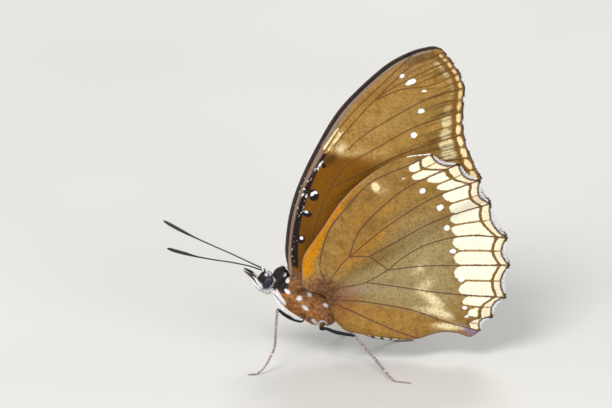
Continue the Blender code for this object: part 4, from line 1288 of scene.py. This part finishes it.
# Fur: slot, number of tufts, shortest and longest, width and lift.
FUR = {
    "thorax_fur": ("body_fur", 17000, 0.5, 1.0, 0.075, 0.28),
    "head_fur": ("head_fur", 7500, 0.18, 0.36, 0.05, 0.3),
    "abdomen_fur": ("abdomen_fur", 8000, 0.22, 0.4, 0.08, 0.1),
}
ABDOMEN_FUR_LIE = (1.0, 0.0, -0.12)
# Fur near a white mark, where the field of white is above this, is short.
SPOT_EDGE = -0.12
# A tuft: three points at its root, three at its bend and its tip.
TUFT_POINTS = 7
TUFT_FACES = [(0, 2, 1), (0, 1, 4, 3), (1, 2, 5, 4), (2, 0, 3, 5), (3, 4, 6), (4, 5, 6), (5, 3, 6)]
TUFT_PATCH = [(0, 0), (1, 0), (0.5, 0.4), (0, 0.6), (1, 0.6), (0.5, 0.8), (0.5, 1)]
TUFT_PATCH_SIZE = 0.003
TUFT_HEIGHTS = (0, 0, 0, 0.6, 0.6, 0.6, 1)
TUFT_SINK = 0.04
TUFT_BEND = 0.55
# Round parts: sides of the tubes of tongue, antennae and legs.
TUBE_SIDES = 16
# Legs: which of a leg's points are its knee and ankle, counted with the two that root it in the
# thorax, how deep and how far out these two are, and their radii.
KNEE = 5
ANKLE = 9
HIP_DEPTH = 0.5
HIP_REACH = 0.8
HIP_RADII = (0.38, 0.34)
FOOT_JOINT_STEP = 0.95
SPINE_FLOOR = 0.2
# Walking legs: side, root, path and where the pale streak runs, in sides of the tube.
WALKING_LEGS = {
    "midleg_left": (LEFT, MIDLEG_ROOT, NEAR_MIDLEG_PATH, 4),
    "hindleg_left": (LEFT, HINDLEG_ROOT, NEAR_HINDLEG_PATH, 12),
    "midleg_right": (RIGHT, MIDLEG_ROOT, FAR_MIDLEG_PATH, 4),
    "hindleg_right": (RIGHT, HINDLEG_ROOT, FAR_HINDLEG_PATH, 12),
}
# Darker and lighter tones of the hip, femur, shin and foot.
WALKING_TONES = (
    (linear(46, 30, 22), linear(104, 70, 44)),
    (linear(20, 15, 18), linear(206, 210, 232)),
    (linear(172, 150, 152), linear(228, 212, 212)),
    (linear(58, 28, 26), linear(104, 60, 52)),
)


def thorax_white(points, flat):
    """Spots and streaks on the thorax's sides, and a ring by the hind leg."""
    white = np.max([streak(flat, *values) for values in THORAX_STREAKS], axis=0)
    white = np.maximum(spots(flat, THORAX_SPOTS), white)
    white = np.where(np.abs(points[:, 1]) > 0.35, white, OUTSIDE)
    middle, radius, half_width = WHITE_RING
    off_ring = np.hypot(flat[:, 0] - middle[0], flat[:, 1] - middle[1]) - radius
    line = np.clip(half_width - np.abs(off_ring), -1, 1)
    return np.where(points[:, 0] < 4.2, np.maximum(white, line), white)


def head_white(flat):
    """White spots, a line round the back of the eye and the chin."""
    along, above = flat.T
    eye_along = (along - EYE_MIDDLE[0]) / EYE_SIZE[0]
    eye_above = (above - EYE_MIDDLE[1]) / EYE_SIZE[1]
    behind = 0.1 - np.abs((np.hypot(eye_along, eye_above) - 1.2) * 0.8)
    behind = np.where((eye_along > 0.45) & (above < 1.05) & (along < -5.0), behind, OUTSIDE)
    white = np.maximum(spots(flat, HEAD_SPOTS), behind)
    chin = np.minimum(CHIN_TOP - above, 0.3)
    return np.where(above < CHIN_TOP + 0.05, np.maximum(white, chin), white)


def abdomen_white(points):
    """A row of white spots, one to a segment, and the points' heights over the abdomen's middle."""
    first, last = ABDOMEN_PATH[0][0], ABDOMEN_PATH[-1][0]
    share = np.clip((points[:, 0] - first) / (last - first), 0, 1)
    keys = [section[0] for section in ABDOMEN_SECTIONS]
    half_height = np.interp(share, keys, [section[2] for section in ABDOMEN_SECTIONS])
    curve = smooth_curve(ABDOMEN_PATH, 0.2)
    height = (points[:, 2] - np.interp(points[:, 0], curve[:, 0], curve[:, 1])) / half_height
    along = (share * ABDOMEN_SEGMENTS % 1 - 0.5) / ABDOMEN_SPOT_SIZE[0]
    above = (height - ABDOMEN_SPOT_HEIGHT) / ABDOMEN_SPOT_SIZE[1]
    return (0.5 - np.hypot(along, above) * 0.5) * 0.5, height


def body_marks(points):
    """White and dark fields over the head, thorax and abdomen."""
    flat = to_thorax(points)
    along, above = flat.T
    head = along < HEAD_START
    white = np.where(head, head_white(flat), thorax_white(points, flat))
    dark = np.where(head, 1.0, fade(along, -3.8, -3.3) * ease(above, -0.5, 0.1))
    dark = np.maximum(dark, ease(above, 1.9, 2.8) * fade(along, -3.0, -1.0))
    off_groove = (above + 1.45 + 0.42 * (along + 4)) / 0.22
    dark = np.maximum(dark, 0.9 * np.exp(-((along + 4.0) / 1.3) ** 2 - off_groove ** 2))
    tail = ease(points[:, 0], 4.9, 5.7)
    beads, height = abdomen_white(points)
    white = np.where(tail > 0.5, beads, white)
    tail_dark = tail * (0.75 + 0.25 * ease(height, -0.2, 0.4)) + (1 - tail) * dark
    dark = np.where(tail > 0, tail_dark, dark)
    return {"white": np.clip(white + 0.05, -1, 1), "dark": np.clip(dark, 0, 1)}


def coat_colours(paint):
    """Orange-brown to black with white marks, for the skin and for its fur alike."""
    strands = paint.place_in(paint.here(), (700.0, 2200.0, 2200.0))
    tone = paint.noise(strands, 1.0, 3.0, 0.6)
    tone = paint.math("ADD", tone, paint.math("MULTIPLY", paint.field("tone"), 0.7))
    brown = paint.mix(paint.step(tone, 0.5, 1.05), linear(100, 54, 14), linear(230, 156, 78))
    dark = paint.mix(paint.step(tone, 0.45, 1.1), linear(18, 14, 16), linear(56, 42, 40))
    colour = paint.mix(paint.field("dark"), brown, dark)
    white = paint.step(paint.field("white"), -0.05, 0.05)
    return paint.mix(white, colour, linear(252, 251, 255))


def skin_material():
    paint = Paint("body_skin", Specular_IOR_Level=0.2)
    colour = coat_colours(paint)
    flow = paint.place_in(paint.here(), (1500.0, 5200.0, 5200.0))
    hairs = paint.noise(flow, 1.0, 3.0, 0.6)
    colour = paint.darken(paint.step(hairs, 0.6, 0.35), colour, 0.7)
    rough = paint.step(hairs, 0.2, 0.8, 0.6, 0.9)
    return paint.finish(colour, rough, paint.bump(hairs, 0.00012, 0.8))


def fur_material(name):
    paint = Paint(name, Specular_IOR_Level=0.3, Sheen_Weight=0.15)
    colour = coat_colours(paint)
    # Painted shade: each tuft darkens towards its root, down to 0.62 of its colour, as if shaded by
    # the fur around it.
    painted_root_shade = paint.step(paint.field("tip"), 0.0, 1.0, 0.62, 1.0)
    inputs = {0: 1.0, 6: colour, 7: painted_root_shade}
    made = paint.node("ShaderNodeMix", inputs, data_type="RGBA", blend_type="MULTIPLY")
    strand = paint.noise(paint.here(), HAIR_STRANDS, 2.0)
    return paint.finish(made.outputs[2], paint.step(strand, 0.3, 0.7, 0.45, 0.75),
                        paint.bump(strand, 0.00002, 0.4))


def corners_of(faces):
    """Triangles of a mesh of triangles and quads."""
    triangles = []
    for face in faces:
        triangles.append(face[:3])
        if len(face) == 4:
            triangles.append((face[0], face[2], face[3]))
    return np.array(triangles)


def scatter(points, faces, weights, count, random):
    """Points spread over a surface by area and weight, with the surface's normals."""
    triangles = corners_of(faces)
    a, b, c = (points[triangles[:, k]] for k in range(3))
    normal = np.cross(b - a, c - a)
    area = np.linalg.norm(normal, axis=1)
    normal /= area[:, None] + 1e-12
    chance = area * weights[triangles].mean(axis=1)
    total = np.cumsum(chance)
    picks = np.searchsorted(total, (np.arange(count) + random.random(count)) / count * total[-1])
    picks = np.minimum(picks, len(triangles) - 1)
    s, t = random.random(count), random.random(count)
    fold = s + t > 1
    s[fold], t[fold] = 1 - s[fold], 1 - t[fold]
    roots = a[picks] + (b - a)[picks] * s[:, None] + (c - a)[picks] * t[:, None]
    return roots, normal[picks]


def unit(vectors):
    return vectors / (np.linalg.norm(vectors, axis=1)[:, None] + 1e-12)


def add_tufts(name, roots, normals, lie, lift, length, width, fields, material, slot, sheet,
              droop=0.25):
    """Solid tapered tufts: three-sided, bent once, lying along `lie` and lifted off the skin."""
    count = len(roots)
    lie = unit(lie - normals * (lie * normals).sum(axis=1)[:, None])
    direction = unit(lie + normals * np.reshape(lift, (-1, 1)))
    across = unit(np.cross(direction, normals))
    rise = unit(np.cross(across, direction))
    length = np.reshape(length, (-1, 1))
    width = np.reshape(width, (-1, 1))
    base = roots - normals * TUFT_SINK
    middle = base + direction * length * TUFT_BEND
    tip = base + direction * length - rise * length * droop
    offsets = [(-0.5, 0.0), (0.5, 0.0), (0.0, 0.5)]
    rows = [base + across * width * s + rise * width * t for s, t in offsets]
    rows += [middle + across * width * 0.8 * s + rise * width * 0.8 * t for s, t in offsets]
    rows.append(tip)
    vertices = np.stack(rows, axis=1).reshape(-1, 3)
    faces = [tuple(start + index for index in face)
             for start in range(0, TUFT_POINTS * count, TUFT_POINTS) for face in TUFT_FACES]
    piece = add_piece(name, vertices, faces, [material], slot)
    for field, values in fields.items():
        add_field(piece, field, np.repeat(values, TUFT_POINTS))
    # The tip field says how far along the tuft each point lies; the fur's material uses it to paint
    # shade at the roots.
    add_field(piece, "tip", np.tile(TUFT_HEIGHTS, count))
    patch = np.array(TUFT_PATCH) * TUFT_PATCH_SIZE
    add_bake_map(piece, (sheet[:, None, :] + patch[None, :, :]).reshape(-1, 2))
    return piece


def body_sheet(points):
    """Unwrap of the skin: around the body's axis, and from head to tail."""
    middle = np.interp(points[:, 0], (-8, 0, 5.2, 8, 11, 16.3), (13.5, 9.9, 7.1, 6.0, 5.0, 4.3))
    around = np.arctan2(points[:, 1], points[:, 2] - middle) / (2 * np.pi) + 0.5
    along = (points[:, 0] + 10.5) / 30.5
    return np.stack((0.02 + 0.95 * around, 0.02 + 0.95 * along), axis=1)


def make_body():
    """One skin over head, thorax, collar and abdomen, with fur on it."""
    upward = thorax_way(0, 1)
    along, above, length, height, width = COLLAR
    collar = []
    for share in np.linspace(-0.98, 0.98, 15):
        rim = math.sqrt(1 - share * share)
        collar.append(ring(on_thorax(along + share * (length - SKIN_INSET), above), (0, 1, 0),
                           upward, (width - SKIN_INSET) * rim, (height - SKIN_INSET) * rim, 40))
    pieces = [loft(axis_rings(HEAD_SECTIONS, 0.1, 40)),
              loft(axis_rings(THORAX_SECTIONS, SKIN_INSET + 0.1, 48)), loft(collar),
              loft(abdomen_rings(SKIN_INSET, 48))]
    points, faces = blend(pieces, 0.11, 4)
    piece = add_piece("body_skin", points, faces, [skin_material()], "body_fur")
    face_outward(piece)
    for field, values in body_marks(points).items():
        add_field(piece, field, values)
    add_field(piece, "tone", np.full(len(points), 0.3))
    add_bake_map(piece, body_sheet(points))
    for name in ("head", "thorax", "abdomen"):
        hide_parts(name)
    triangles = corners_of(faces)
    a, b, c = (points[triangles[:, k]] for k in range(3))
    volume = (np.cross(a, b) * c).sum()
    if volume < 0:
        faces = [face[::-1] for face in faces]
    add_fur(points, faces)


def lay_thorax_fur(roots, along, white, lie, length, random):
    """Shorter forward and beside white marks, and hanging down on the neck."""
    length *= 0.5 + 0.5 * ease(along, NECK_START, -1.5)
    tip_white = body_marks(roots + unit(lie) * 0.5)["white"]
    length *= np.where(np.maximum(white, tip_white) > SPOT_EDGE, 0.5, 1.0)
    neck = (along < NECK_START) & (white < SPOT_EDGE)
    lie[neck] = thorax_way(-0.6, -1.0)
    length[neck] = random.uniform(0.6, 1.0, neck.sum())


def lay_chin_hair(low, white, lie, length, lifts, random):
    """Long white hair that stands off the underside of the head."""
    count = low.sum()
    lie[low] = thorax_way(1.0, -0.7) + random.normal(0, 0.1, (count, 3))
    length[low] = random.uniform(0.7, 1.1, count)
    lifts[low] = random.uniform(0.7, 1.3, count)
    white[low] = 0.3


def add_fur(points, faces):
    """Fur that lies back and down: long on the thorax, short on the head and abdomen."""
    random = np.random.default_rng(3)
    flat = to_thorax(points)
    head = fade(flat[:, 0], -5.2, -4.7)
    tail = ease(points[:, 0], 4.8, 5.8)
    eye = np.hypot((flat[:, 0] - EYE_MIDDLE[0]) / EYE_SIZE[0], flat[:, 1] / EYE_SIZE[1])
    weights = {"thorax_fur": (1 - head) * (1 - tail), "head_fur": head * ease(eye, 0.95, 1.1),
               "abdomen_fur": tail}
    for name, (slot, count, short, long, width, lift) in FUR.items():
        count //= FUR_THINNING
        roots, normals = scatter(points, faces, weights[name], count, random)
        along, above = to_thorax(roots).T
        back = ABDOMEN_FUR_LIE if name == "abdomen_fur" else thorax_way(1, -0.25)
        lie = np.tile(back, (count, 1)) + random.normal(0, 0.16, (count, 3))
        length = random.uniform(short, long, count)
        fields = body_marks(roots)
        if name == "thorax_fur":
            lay_thorax_fur(roots, along, fields["white"], lie, length, random)
        fields["tone"] = random.random(count)
        lifts = lift * random.uniform(0.4, 1.7, count)
        low = (above < CHIN_TOP) & (name == "head_fur")
        if low.any():
            lay_chin_hair(low, fields["white"], lie, length, lifts, random)
        widths = width * random.uniform(0.7, 1.2, count)
        widths[low] *= CHIN_HAIR_WIDENING
        add_tufts(name, roots, normals, lie, lifts, length, widths, fields, fur_material(name),
                  slot, body_sheet(roots))


def eye_material():
    """Fine facets, mottled in violet-grey."""
    paint = Paint("eye", Specular_IOR_Level=0.35, Coat_Weight=0.12, Coat_Roughness=0.1)
    facets = paint.cells(paint.here(), EYE_FACETS, 0.15).outputs["Distance"]
    blotches = paint.cells(paint.here(), EYE_BLOTCHES, 0.55).outputs["Distance"]
    lattice = paint.step(blotches, 0.16, 0.36)
    colour = paint.mix(lattice, linear(128, 122, 168), linear(16, 13, 18))
    colour = paint.darken(paint.step(facets, 0.3, 0.6), colour, 0.5)
    rough = paint.step(facets, 0.1, 0.6, 0.2, 0.45)
    return paint.finish(colour, rough, paint.bump(facets, -0.00002, 0.6))


def make_eyes():
    material = eye_material()
    ahead = thorax_way(1, 0)
    upward = thorax_way(0, 1)
    for side, word in SIDES:
        rings = []
        for share in np.sin(np.linspace(-1.5, 1.5, 40)):
            rim = math.sqrt(1 - share * share)
            middle = on_thorax(EYE_MIDDLE[0], EYE_MIDDLE[1], side * EYE_MIDDLE[2])
            middle = middle + np.array((0, side * share * EYE_SIZE[2], 0))
            rings.append(ring(middle, ahead, upward, EYE_SIZE[0] * rim, EYE_SIZE[1] * rim, 64))
        piece = add_piece("eyeball_" + word, *loft(rings), [material], "eye")
        face_outward(piece)
        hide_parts("eye_" + word)


def mirrored(path, side):
    return [(x, side * out, z, radius) for x, out, z, radius in path]


def tube_lengths(path):
    steps = np.linalg.norm(np.diff(np.asarray(path)[:, :3], axis=0), axis=1)
    return np.concatenate(([0], np.cumsum(steps)))


def palp_material():
    paint = Paint("palp_skin", Specular_IOR_Level=0.25)
    fine = paint.noise(paint.here(), 4000.0, 3.0)
    colour = paint.mix(fine, linear(46, 30, 40), linear(88, 62, 76))
    white = paint.step(paint.field("white"), -0.05, 0.06)
    colour = paint.mix(white, colour, linear(246, 244, 248))
    return paint.finish(colour, paint.step(fine, 0.0, 1.0, 0.6, 0.85), paint.bump(fine, 0.00004))


def make_palps():
    random = np.random.default_rng(5)
    skin = palp_material()
    for side, word in SIDES:
        path = smooth_curve(mirrored(PALP_PATH, side), 0.12)
        vertices, faces = tube(path, 20, PALP_FLATNESS)
        piece = add_piece("palp_skin_" + word, vertices, faces, [skin], "head_fur")
        face_outward(piece)
        add_field(piece, "white", palp_white(vertices, path))
        add_bake_map(piece, palp_sheet(vertices, path))
        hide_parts("palp_" + word)
        add_palp_fur(word, path, vertices, faces, random)


def add_palp_fur(word, path, vertices, faces, random):
    """Fine hair that lies towards the palp's tip."""
    count = PALP_HAIRS
    roots, _ = scatter(vertices, faces, np.ones(len(vertices)), count, random)
    step, ahead = nearest_steps(roots, path)
    normals = unit(roots - path[step, :3])
    fields = {"white": palp_white(roots, path), "dark": np.full(count, 1.0),
              "tone": random.random(count)}
    length = random.uniform(0.16, 0.34, count)
    lifts = random.uniform(0.1, 0.5, count)
    add_tufts("palp_fur_" + word, roots, normals, ahead, lifts, length, np.full(count, 0.05),
              fields, fur_material("palp_fur_" + word), "head_fur", palp_sheet(roots, path))


def nearest_steps(points, path):
    """Which step of a path is nearest to each point, and the way that the path runs there."""
    step = np.argmin(np.linalg.norm(points[:, None] - path[None, :, :3], axis=2), axis=1)
    return step, unit(np.gradient(path[:, :3], axis=0))[step]


def palp_height(points, path):
    """Height over the palp's middle line, as a share of its radius, and the share of its length."""
    step, ahead = nearest_steps(points, path)
    up = np.stack((ahead[:, 2], np.zeros(len(ahead)), -ahead[:, 0]), axis=1)
    rise = ((points - path[step, :3]) * unit(up)).sum(axis=1) / path[step, 3]
    return rise, step / (len(path) - 1)


def palp_white(points, path):
    """White below, and a white line above amid the palp's length."""
    rise, share = palp_height(points, path)
    lower = (0.2 - 0.45 * share - rise) * 0.5
    beyond = np.maximum(share - 0.5, 0) + np.maximum(0.2 - share, 0)
    upper = 0.32 - np.abs(rise - 0.75) - 2 * beyond
    return np.clip(np.maximum(lower, upper), -1, 1)


def palp_sheet(points, path):
    rise, share = palp_height(points, path)
    turn = np.arctan2(points[:, 1] - np.sign(points[:, 1]) * 0.9, rise)
    return np.stack((0.05 + 0.85 * share, 0.5 + 0.14 * turn), axis=1)


def make_tongue():
    """A coil that narrows towards its inner end."""
    steps = 150
    path = []
    for step in range(steps + 1):
        t = step / steps
        radius = TONGUE_OUTER + (TONGUE_INNER - TONGUE_OUTER) * t
        angle = math.radians(30) + 2 * math.pi * TONGUE_TURNS * t
        x = TONGUE_MIDDLE[0] + radius * math.cos(angle)
        z = TONGUE_MIDDLE[1] + radius * math.sin(angle)
        path.append((x, 0.08 * t, z, TONGUE_RADIUS * (1 - 0.45 * t) * (1 + 0.06 * (step % 2))))
    paint = Paint("tongue", Specular_IOR_Level=0.4)
    bands = paint.noise(paint.here(), 6000.0, 2.0)
    colour = paint.mix(bands, linear(44, 26, 18), linear(96, 60, 36))
    material = paint.finish(colour, paint.step(bands, 0.2, 0.8, 0.3, 0.6),
                            paint.bump(bands, 0.00002))
    piece = add_piece("tongue_coil", *tube(path, TUBE_SIDES), [material], "tongue")
    face_outward(piece)
    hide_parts("proboscis")


def feeler_material():
    """Black with paler rings, and white near the base."""
    paint = Paint("feeler", Specular_IOR_Level=0.4)
    grain = paint.noise(paint.here(), 5200.0, 3.0)
    ringed = paint.step(paint.field("ring"), 0.0, 1.0)
    colour = paint.mix(grain, linear(16, 13, 15), linear(46, 40, 44))
    colour = paint.mix(ringed, colour, linear(82, 76, 78))
    colour = paint.mix(paint.field("base"), colour, linear(240, 240, 246))
    rough = paint.step(grain, 0.2, 0.8, 0.35, 0.65)
    return paint.finish(colour, rough, paint.bump(grain, 0.00002))


def tube_field(values):
    """Values at a tube's rings spread to all its points. The two middles of its ends get zero."""
    return np.concatenate((np.repeat(values, TUBE_SIDES), (0, 0)))


def make_antennae():
    material = feeler_material()
    for side, word in SIDES:
        path = smooth_curve(mirrored(ANTENNA_PATH, side), 0.07)
        lengths = tube_lengths(path)
        joint = np.exp(-(((lengths / 0.42 + 0.5) % 1 - 0.5) / 0.13) ** 2)
        path[:, 3] *= 1 - 0.14 * joint
        shape = tube(path, TUBE_SIDES)
        piece = add_piece("antenna_shaft_" + word, *shape, [material], "feeler")
        face_outward(piece)
        add_field(piece, "ring", tube_field(joint * 0.4))
        base = ease(lengths, 0.75, 0.85) * fade(lengths, 1.0, 1.15)
        add_field(piece, "base", tube_field(base))
        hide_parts("antenna_" + word)


def leg_start(root, side):
    """Two points that root a leg in the thorax: one inside its surface and one outside."""
    along, angle = root
    angle = math.radians(angle)
    top, bottom, half_width = sizes_at(THORAX_SECTIONS, along)
    half_height = (top - bottom) / 2
    above = (top + bottom) / 2 - half_height * math.cos(angle)
    surface = on_thorax(along, above, side * half_width * math.sin(angle))
    upward = thorax_way(0, 1)
    outward = np.array((0, side * math.sin(angle) / half_width, 0))
    outward = outward - upward * (math.cos(angle) / half_height)
    outward /= np.linalg.norm(outward)
    return surface - outward * HIP_DEPTH, surface + outward * HIP_REACH


def leg_material(name, tones):
    """Hip, femur, shin and foot colours along the leg, with scales and fine streaks."""
    hip, femur, shin, foot = tones
    paint = Paint(name, Specular_IOR_Level=0.3)
    grain = paint.noise(paint.here(), LEG_GRAIN, 3.0, 0.6)
    zone = paint.math("ADD", paint.field("zone"), paint.step(grain, 0.3, 0.7, -0.12, 0.12))
    streaked = paint.math("ADD", paint.field("stripe"), paint.step(grain, 0.3, 0.7, -0.25, 0.25))
    upper = paint.mix(paint.step(streaked, 0.45, 0.75), *femur)
    colour = paint.mix(paint.step(zone, -0.7, -0.3), paint.mix(grain, *hip), upper)
    colour = paint.mix(paint.step(zone, 0.8, 1.2), colour, paint.mix(grain, *shin))
    colour = paint.mix(paint.step(zone, 1.8, 2.2), colour, paint.mix(grain, *foot))
    return paint.finish(colour, paint.step(grain, 0.2, 0.8, 0.5, 0.8), paint.bump(grain, 0.00003))


def leg_curve(side, root, path):
    """A leg's smooth line from inside the thorax on, and the steps where its given points are."""
    start, hip = leg_start(root, side)
    given = [(*start, HIP_RADII[0]), (*hip, HIP_RADII[1])] + mirrored(path, side)
    curve = smooth_curve(given, 0.1)
    curve[:, 3] = np.maximum(curve[:, 3], 0.05)
    steps = [np.argmin(np.linalg.norm(curve[:, :3] - np.array(p[:3]), axis=1)) for p in given]
    return curve, steps


def narrow_foot_joints(curve, ankle):
    """Thins the foot where its joints are."""
    lengths = tube_lengths(curve)
    foot = lengths > lengths[ankle]
    beat = ((lengths - lengths[ankle]) / FOOT_JOINT_STEP) % 1
    curve[foot, 3] *= 1 - 0.25 * np.exp(-(np.minimum(beat, 1 - beat)[foot] / 0.12) ** 2)


def make_leg(name, side, root, path, streak_turn, material):
    """A jointed leg with spines below the knee and two claws."""
    curve, given = leg_curve(side, root, path)
    hip, knee, ankle = given[1], given[KNEE], given[ANKLE]
    narrow_foot_joints(curve, ankle)
    vertices, faces = tube(curve, TUBE_SIDES)
    vertices[:, 2] = np.maximum(vertices[:, 2], 0)
    piece = add_piece(name + "_limb", vertices, faces, [material], "leg")
    face_outward(piece)
    steps = np.arange(len(curve))
    zone = np.interp(steps, (hip - 2, hip + 3, knee - 2, knee + 2, ankle - 2, ankle + 2),
                     (-1.0, 0.0, 0.0, 1.0, 1.0, 2.0))
    add_field(piece, "zone", np.concatenate((np.repeat(zone, TUBE_SIDES), (zone[0], zone[-1]))))
    around = np.cos(2 * np.pi * (np.arange(TUBE_SIDES) - streak_turn) / TUBE_SIDES)
    stripe = around[None, :] * fade(steps, 0.45 * knee, 0.75 * knee)[:, None]
    add_field(piece, "stripe", np.concatenate((stripe.ravel(), (0, 0))))
    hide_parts(name)
    add_claws(name, curve, material)
    add_spines(name, curve, knee)


def bristles(curve, steps, random):
    """Bristles round a leg: the way it runs there, the way out of it and the bristles' roots."""
    ahead = unit(np.gradient(curve[:, :3], axis=0))[steps]
    out = unit(np.cross(ahead, random.normal(0, 1, (len(steps), 3))))
    return ahead, out, curve[steps, :3] + out * curve[steps, 3:4] * 0.9


def leg_sheet(curve, steps, random):
    return np.stack((0.1 + 0.8 * steps / len(curve), random.random(len(steps)) * 0.9), axis=1)


def add_spines(name, curve, knee):
    """Short dark spines below the knee, clear of the floor."""
    random = np.random.default_rng(len(name) + 17)
    steps = random.integers(knee + 3, len(curve) - 4, LEG_SPINES)
    ahead, out, roots = bristles(curve, steps, random)
    clear = roots[:, 2] > SPINE_FLOOR
    roots, out, ahead, steps = roots[clear], out[clear], ahead[clear], steps[clear]
    count = len(roots)
    fields = {"white": np.full(count, -1.0), "dark": np.full(count, 1.0),
              "tone": random.random(count)}
    sheet = leg_sheet(curve, steps, random)
    add_tufts(name + "_spines", roots, out, ahead, np.full(count, 0.55),
              random.uniform(0.14, 0.26, count), np.full(count, 0.04), fields,
              fur_material(name + "_spines"), "leg", sheet, 0.05)


def add_claws(name, curve, material):
    """Two curved claws at the end of a foot."""
    tip = curve[-1, :3]
    ahead = unit((curve[-1, :3] - curve[-6, :3])[None])[0]
    across = np.array((-ahead[1], ahead[0], 0.0))
    for turn, word in ((-1, "outer"), (1, "inner")):
        reach = across * turn
        path = [(*(tip - ahead * 0.1), 0.06), (*(tip + ahead * 0.08 + reach * 0.08), 0.055),
                (*(tip + ahead * 0.2 + reach * 0.12), 0.035),
                (*(tip + ahead * 0.26 + reach * 0.12 - (0, 0, 0.05)), 0.012)]
        vertices, faces = tube(smooth_curve(path, 0.04), 10)
        vertices[:, 2] = np.maximum(vertices[:, 2], 0)
        piece = add_piece(name + "_claw_" + word, vertices, faces, [material], "leg")
        face_outward(piece)
        add_field(piece, "zone", np.full(len(vertices), 2.0))


def make_legs():
    walking = leg_material("leg", WALKING_TONES)
    for name, values in WALKING_LEGS.items():
        make_leg(name, *values, walking)
    for side, word in SIDES:
        make_foreleg(side, word)


def make_foreleg(side, word):
    """A short leg folded against the chest, white with a brush of hair."""
    random = np.random.default_rng(23)
    paint = Paint("foreleg_" + word, Specular_IOR_Level=0.25)
    grain = paint.noise(paint.here(), LEG_GRAIN, 3.0)
    colour = paint.mix(grain, linear(214, 208, 206), linear(250, 248, 250))
    material = paint.finish(colour, paint.step(grain, 0.2, 0.8, 0.55, 0.85),
                            paint.bump(grain, 0.00003))
    path = smooth_curve(mirrored(FORELEG_PATH, side), 0.08)
    vertices, faces = tube(path, 14)
    piece = add_piece("foreleg_limb_" + word, vertices, faces, [material], "foreleg")
    face_outward(piece)
    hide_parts("foreleg_" + word)
    count = BRUSH_HAIRS
    steps = random.integers(4, len(path) - 2, count)
    ahead, out, roots = bristles(path, steps, random)
    fields = {"white": np.where(random.random(count) < 0.9, 1.0, -1.0), "dark": np.ones(count),
              "tone": random.random(count)}
    sheet = leg_sheet(path, steps, random)
    add_tufts("foreleg_brush_" + word, roots, out, ahead, random.uniform(0.1, 0.5, count),
              random.uniform(0.15, 0.35, count), np.full(count, 0.045), fields,
              fur_material("foreleg_brush_" + word), "foreleg", sheet)


def make_camera():
    """A long lens that looks down at the left side, rolled as the picture is."""
    right = Vector((math.cos(VIEW_AZIMUTH), math.sin(VIEW_AZIMUTH), 0))
    back = Vector((math.sin(VIEW_AZIMUTH) * math.cos(VIEW_HEIGHT),
                   -math.cos(VIEW_AZIMUTH) * math.cos(VIEW_HEIGHT), math.sin(VIEW_HEIGHT)))
    up = back.cross(right)
    rolled_right = right * math.cos(VIEW_ROLL) + up * math.sin(VIEW_ROLL)
    rolled_up = up * math.cos(VIEW_ROLL) - right * math.sin(VIEW_ROLL)
    aim = ANCHOR_POINT + rolled_right * ((PICTURE_WIDTH / 2 - ANCHOR_PIXEL[0]) * MM_PER_PIXEL)
    aim -= rolled_up * ((PICTURE_HEIGHT / 2 - ANCHOR_PIXEL[1]) * MM_PER_PIXEL)
    eye = aim + back * VIEW_DISTANCE - Vector((MIDDLE_X, 0, 0))
    lens = bpy.data.cameras.new("camera")
    lens.sensor_width = 36
    lens.lens = lens.sensor_width * VIEW_DISTANCE / (PICTURE_WIDTH * MM_PER_PIXEL)
    lens.clip_start = 0.001
    camera = bpy.data.objects.new("camera", lens)
    turn = Matrix((rolled_right, rolled_up, back)).transposed().to_4x4()
    camera.matrix_world = Matrix.Translation(eye * MM) @ turn
    bpy.context.scene.collection.objects.link(camera)
    bpy.context.scene.camera = camera


def make_floor():
    mesh = bpy.data.meshes.new("floor")
    corners = [(x * FLOOR_HALF, y * FLOOR_HALF, 0) for x, y in ((-1, -1), (1, -1), (1, 1), (-1, 1))]
    mesh.from_pydata(corners, [], [(0, 1, 2, 3)])
    paint = Paint("floor", Specular_IOR_Level=0.2)
    cloud = paint.noise(paint.here(), 9.0, 2.0)
    colour = paint.mix(paint.step(cloud, 0.3, 0.7), linear(198, 197, 193), linear(204, 203, 199))
    mesh.materials.append(paint.finish(colour, paint.step(cloud, 0.0, 1.0, 0.8, 0.95)))
    floor = bpy.data.objects.new("floor", mesh)
    bpy.context.scene.collection.objects.link(floor)


def add_lamp(name, position, size, power, colour):
    lamp = bpy.data.lights.new(name, "AREA")
    lamp.shape = "DISK"
    lamp.size = size
    lamp.energy = power
    lamp.color = colour
    holder = bpy.data.objects.new(name, lamp)
    holder.location = position
    way = Vector(LAMP_AIM) - Vector(position)
    holder.rotation_euler = way.to_track_quat("-Z", "Y").to_euler()
    bpy.context.scene.collection.objects.link(holder)


def make_light():
    scene = bpy.context.scene
    scene.view_settings.view_transform = "Standard"
    world = bpy.data.worlds.new("studio")
    world.use_nodes = True
    sky = world.node_tree.nodes["Background"]
    sky.inputs["Color"].default_value = SKY_COLOUR
    sky.inputs["Strength"].default_value = SKY_STRENGTH
    scene.world = world
    for name, values in LAMPS.items():
        add_lamp(name, *values)


make_camera()
make_floor()
make_light()
make_wings()
make_body()
make_eyes()
make_palps()
make_tongue()
make_antennae()
make_legs()
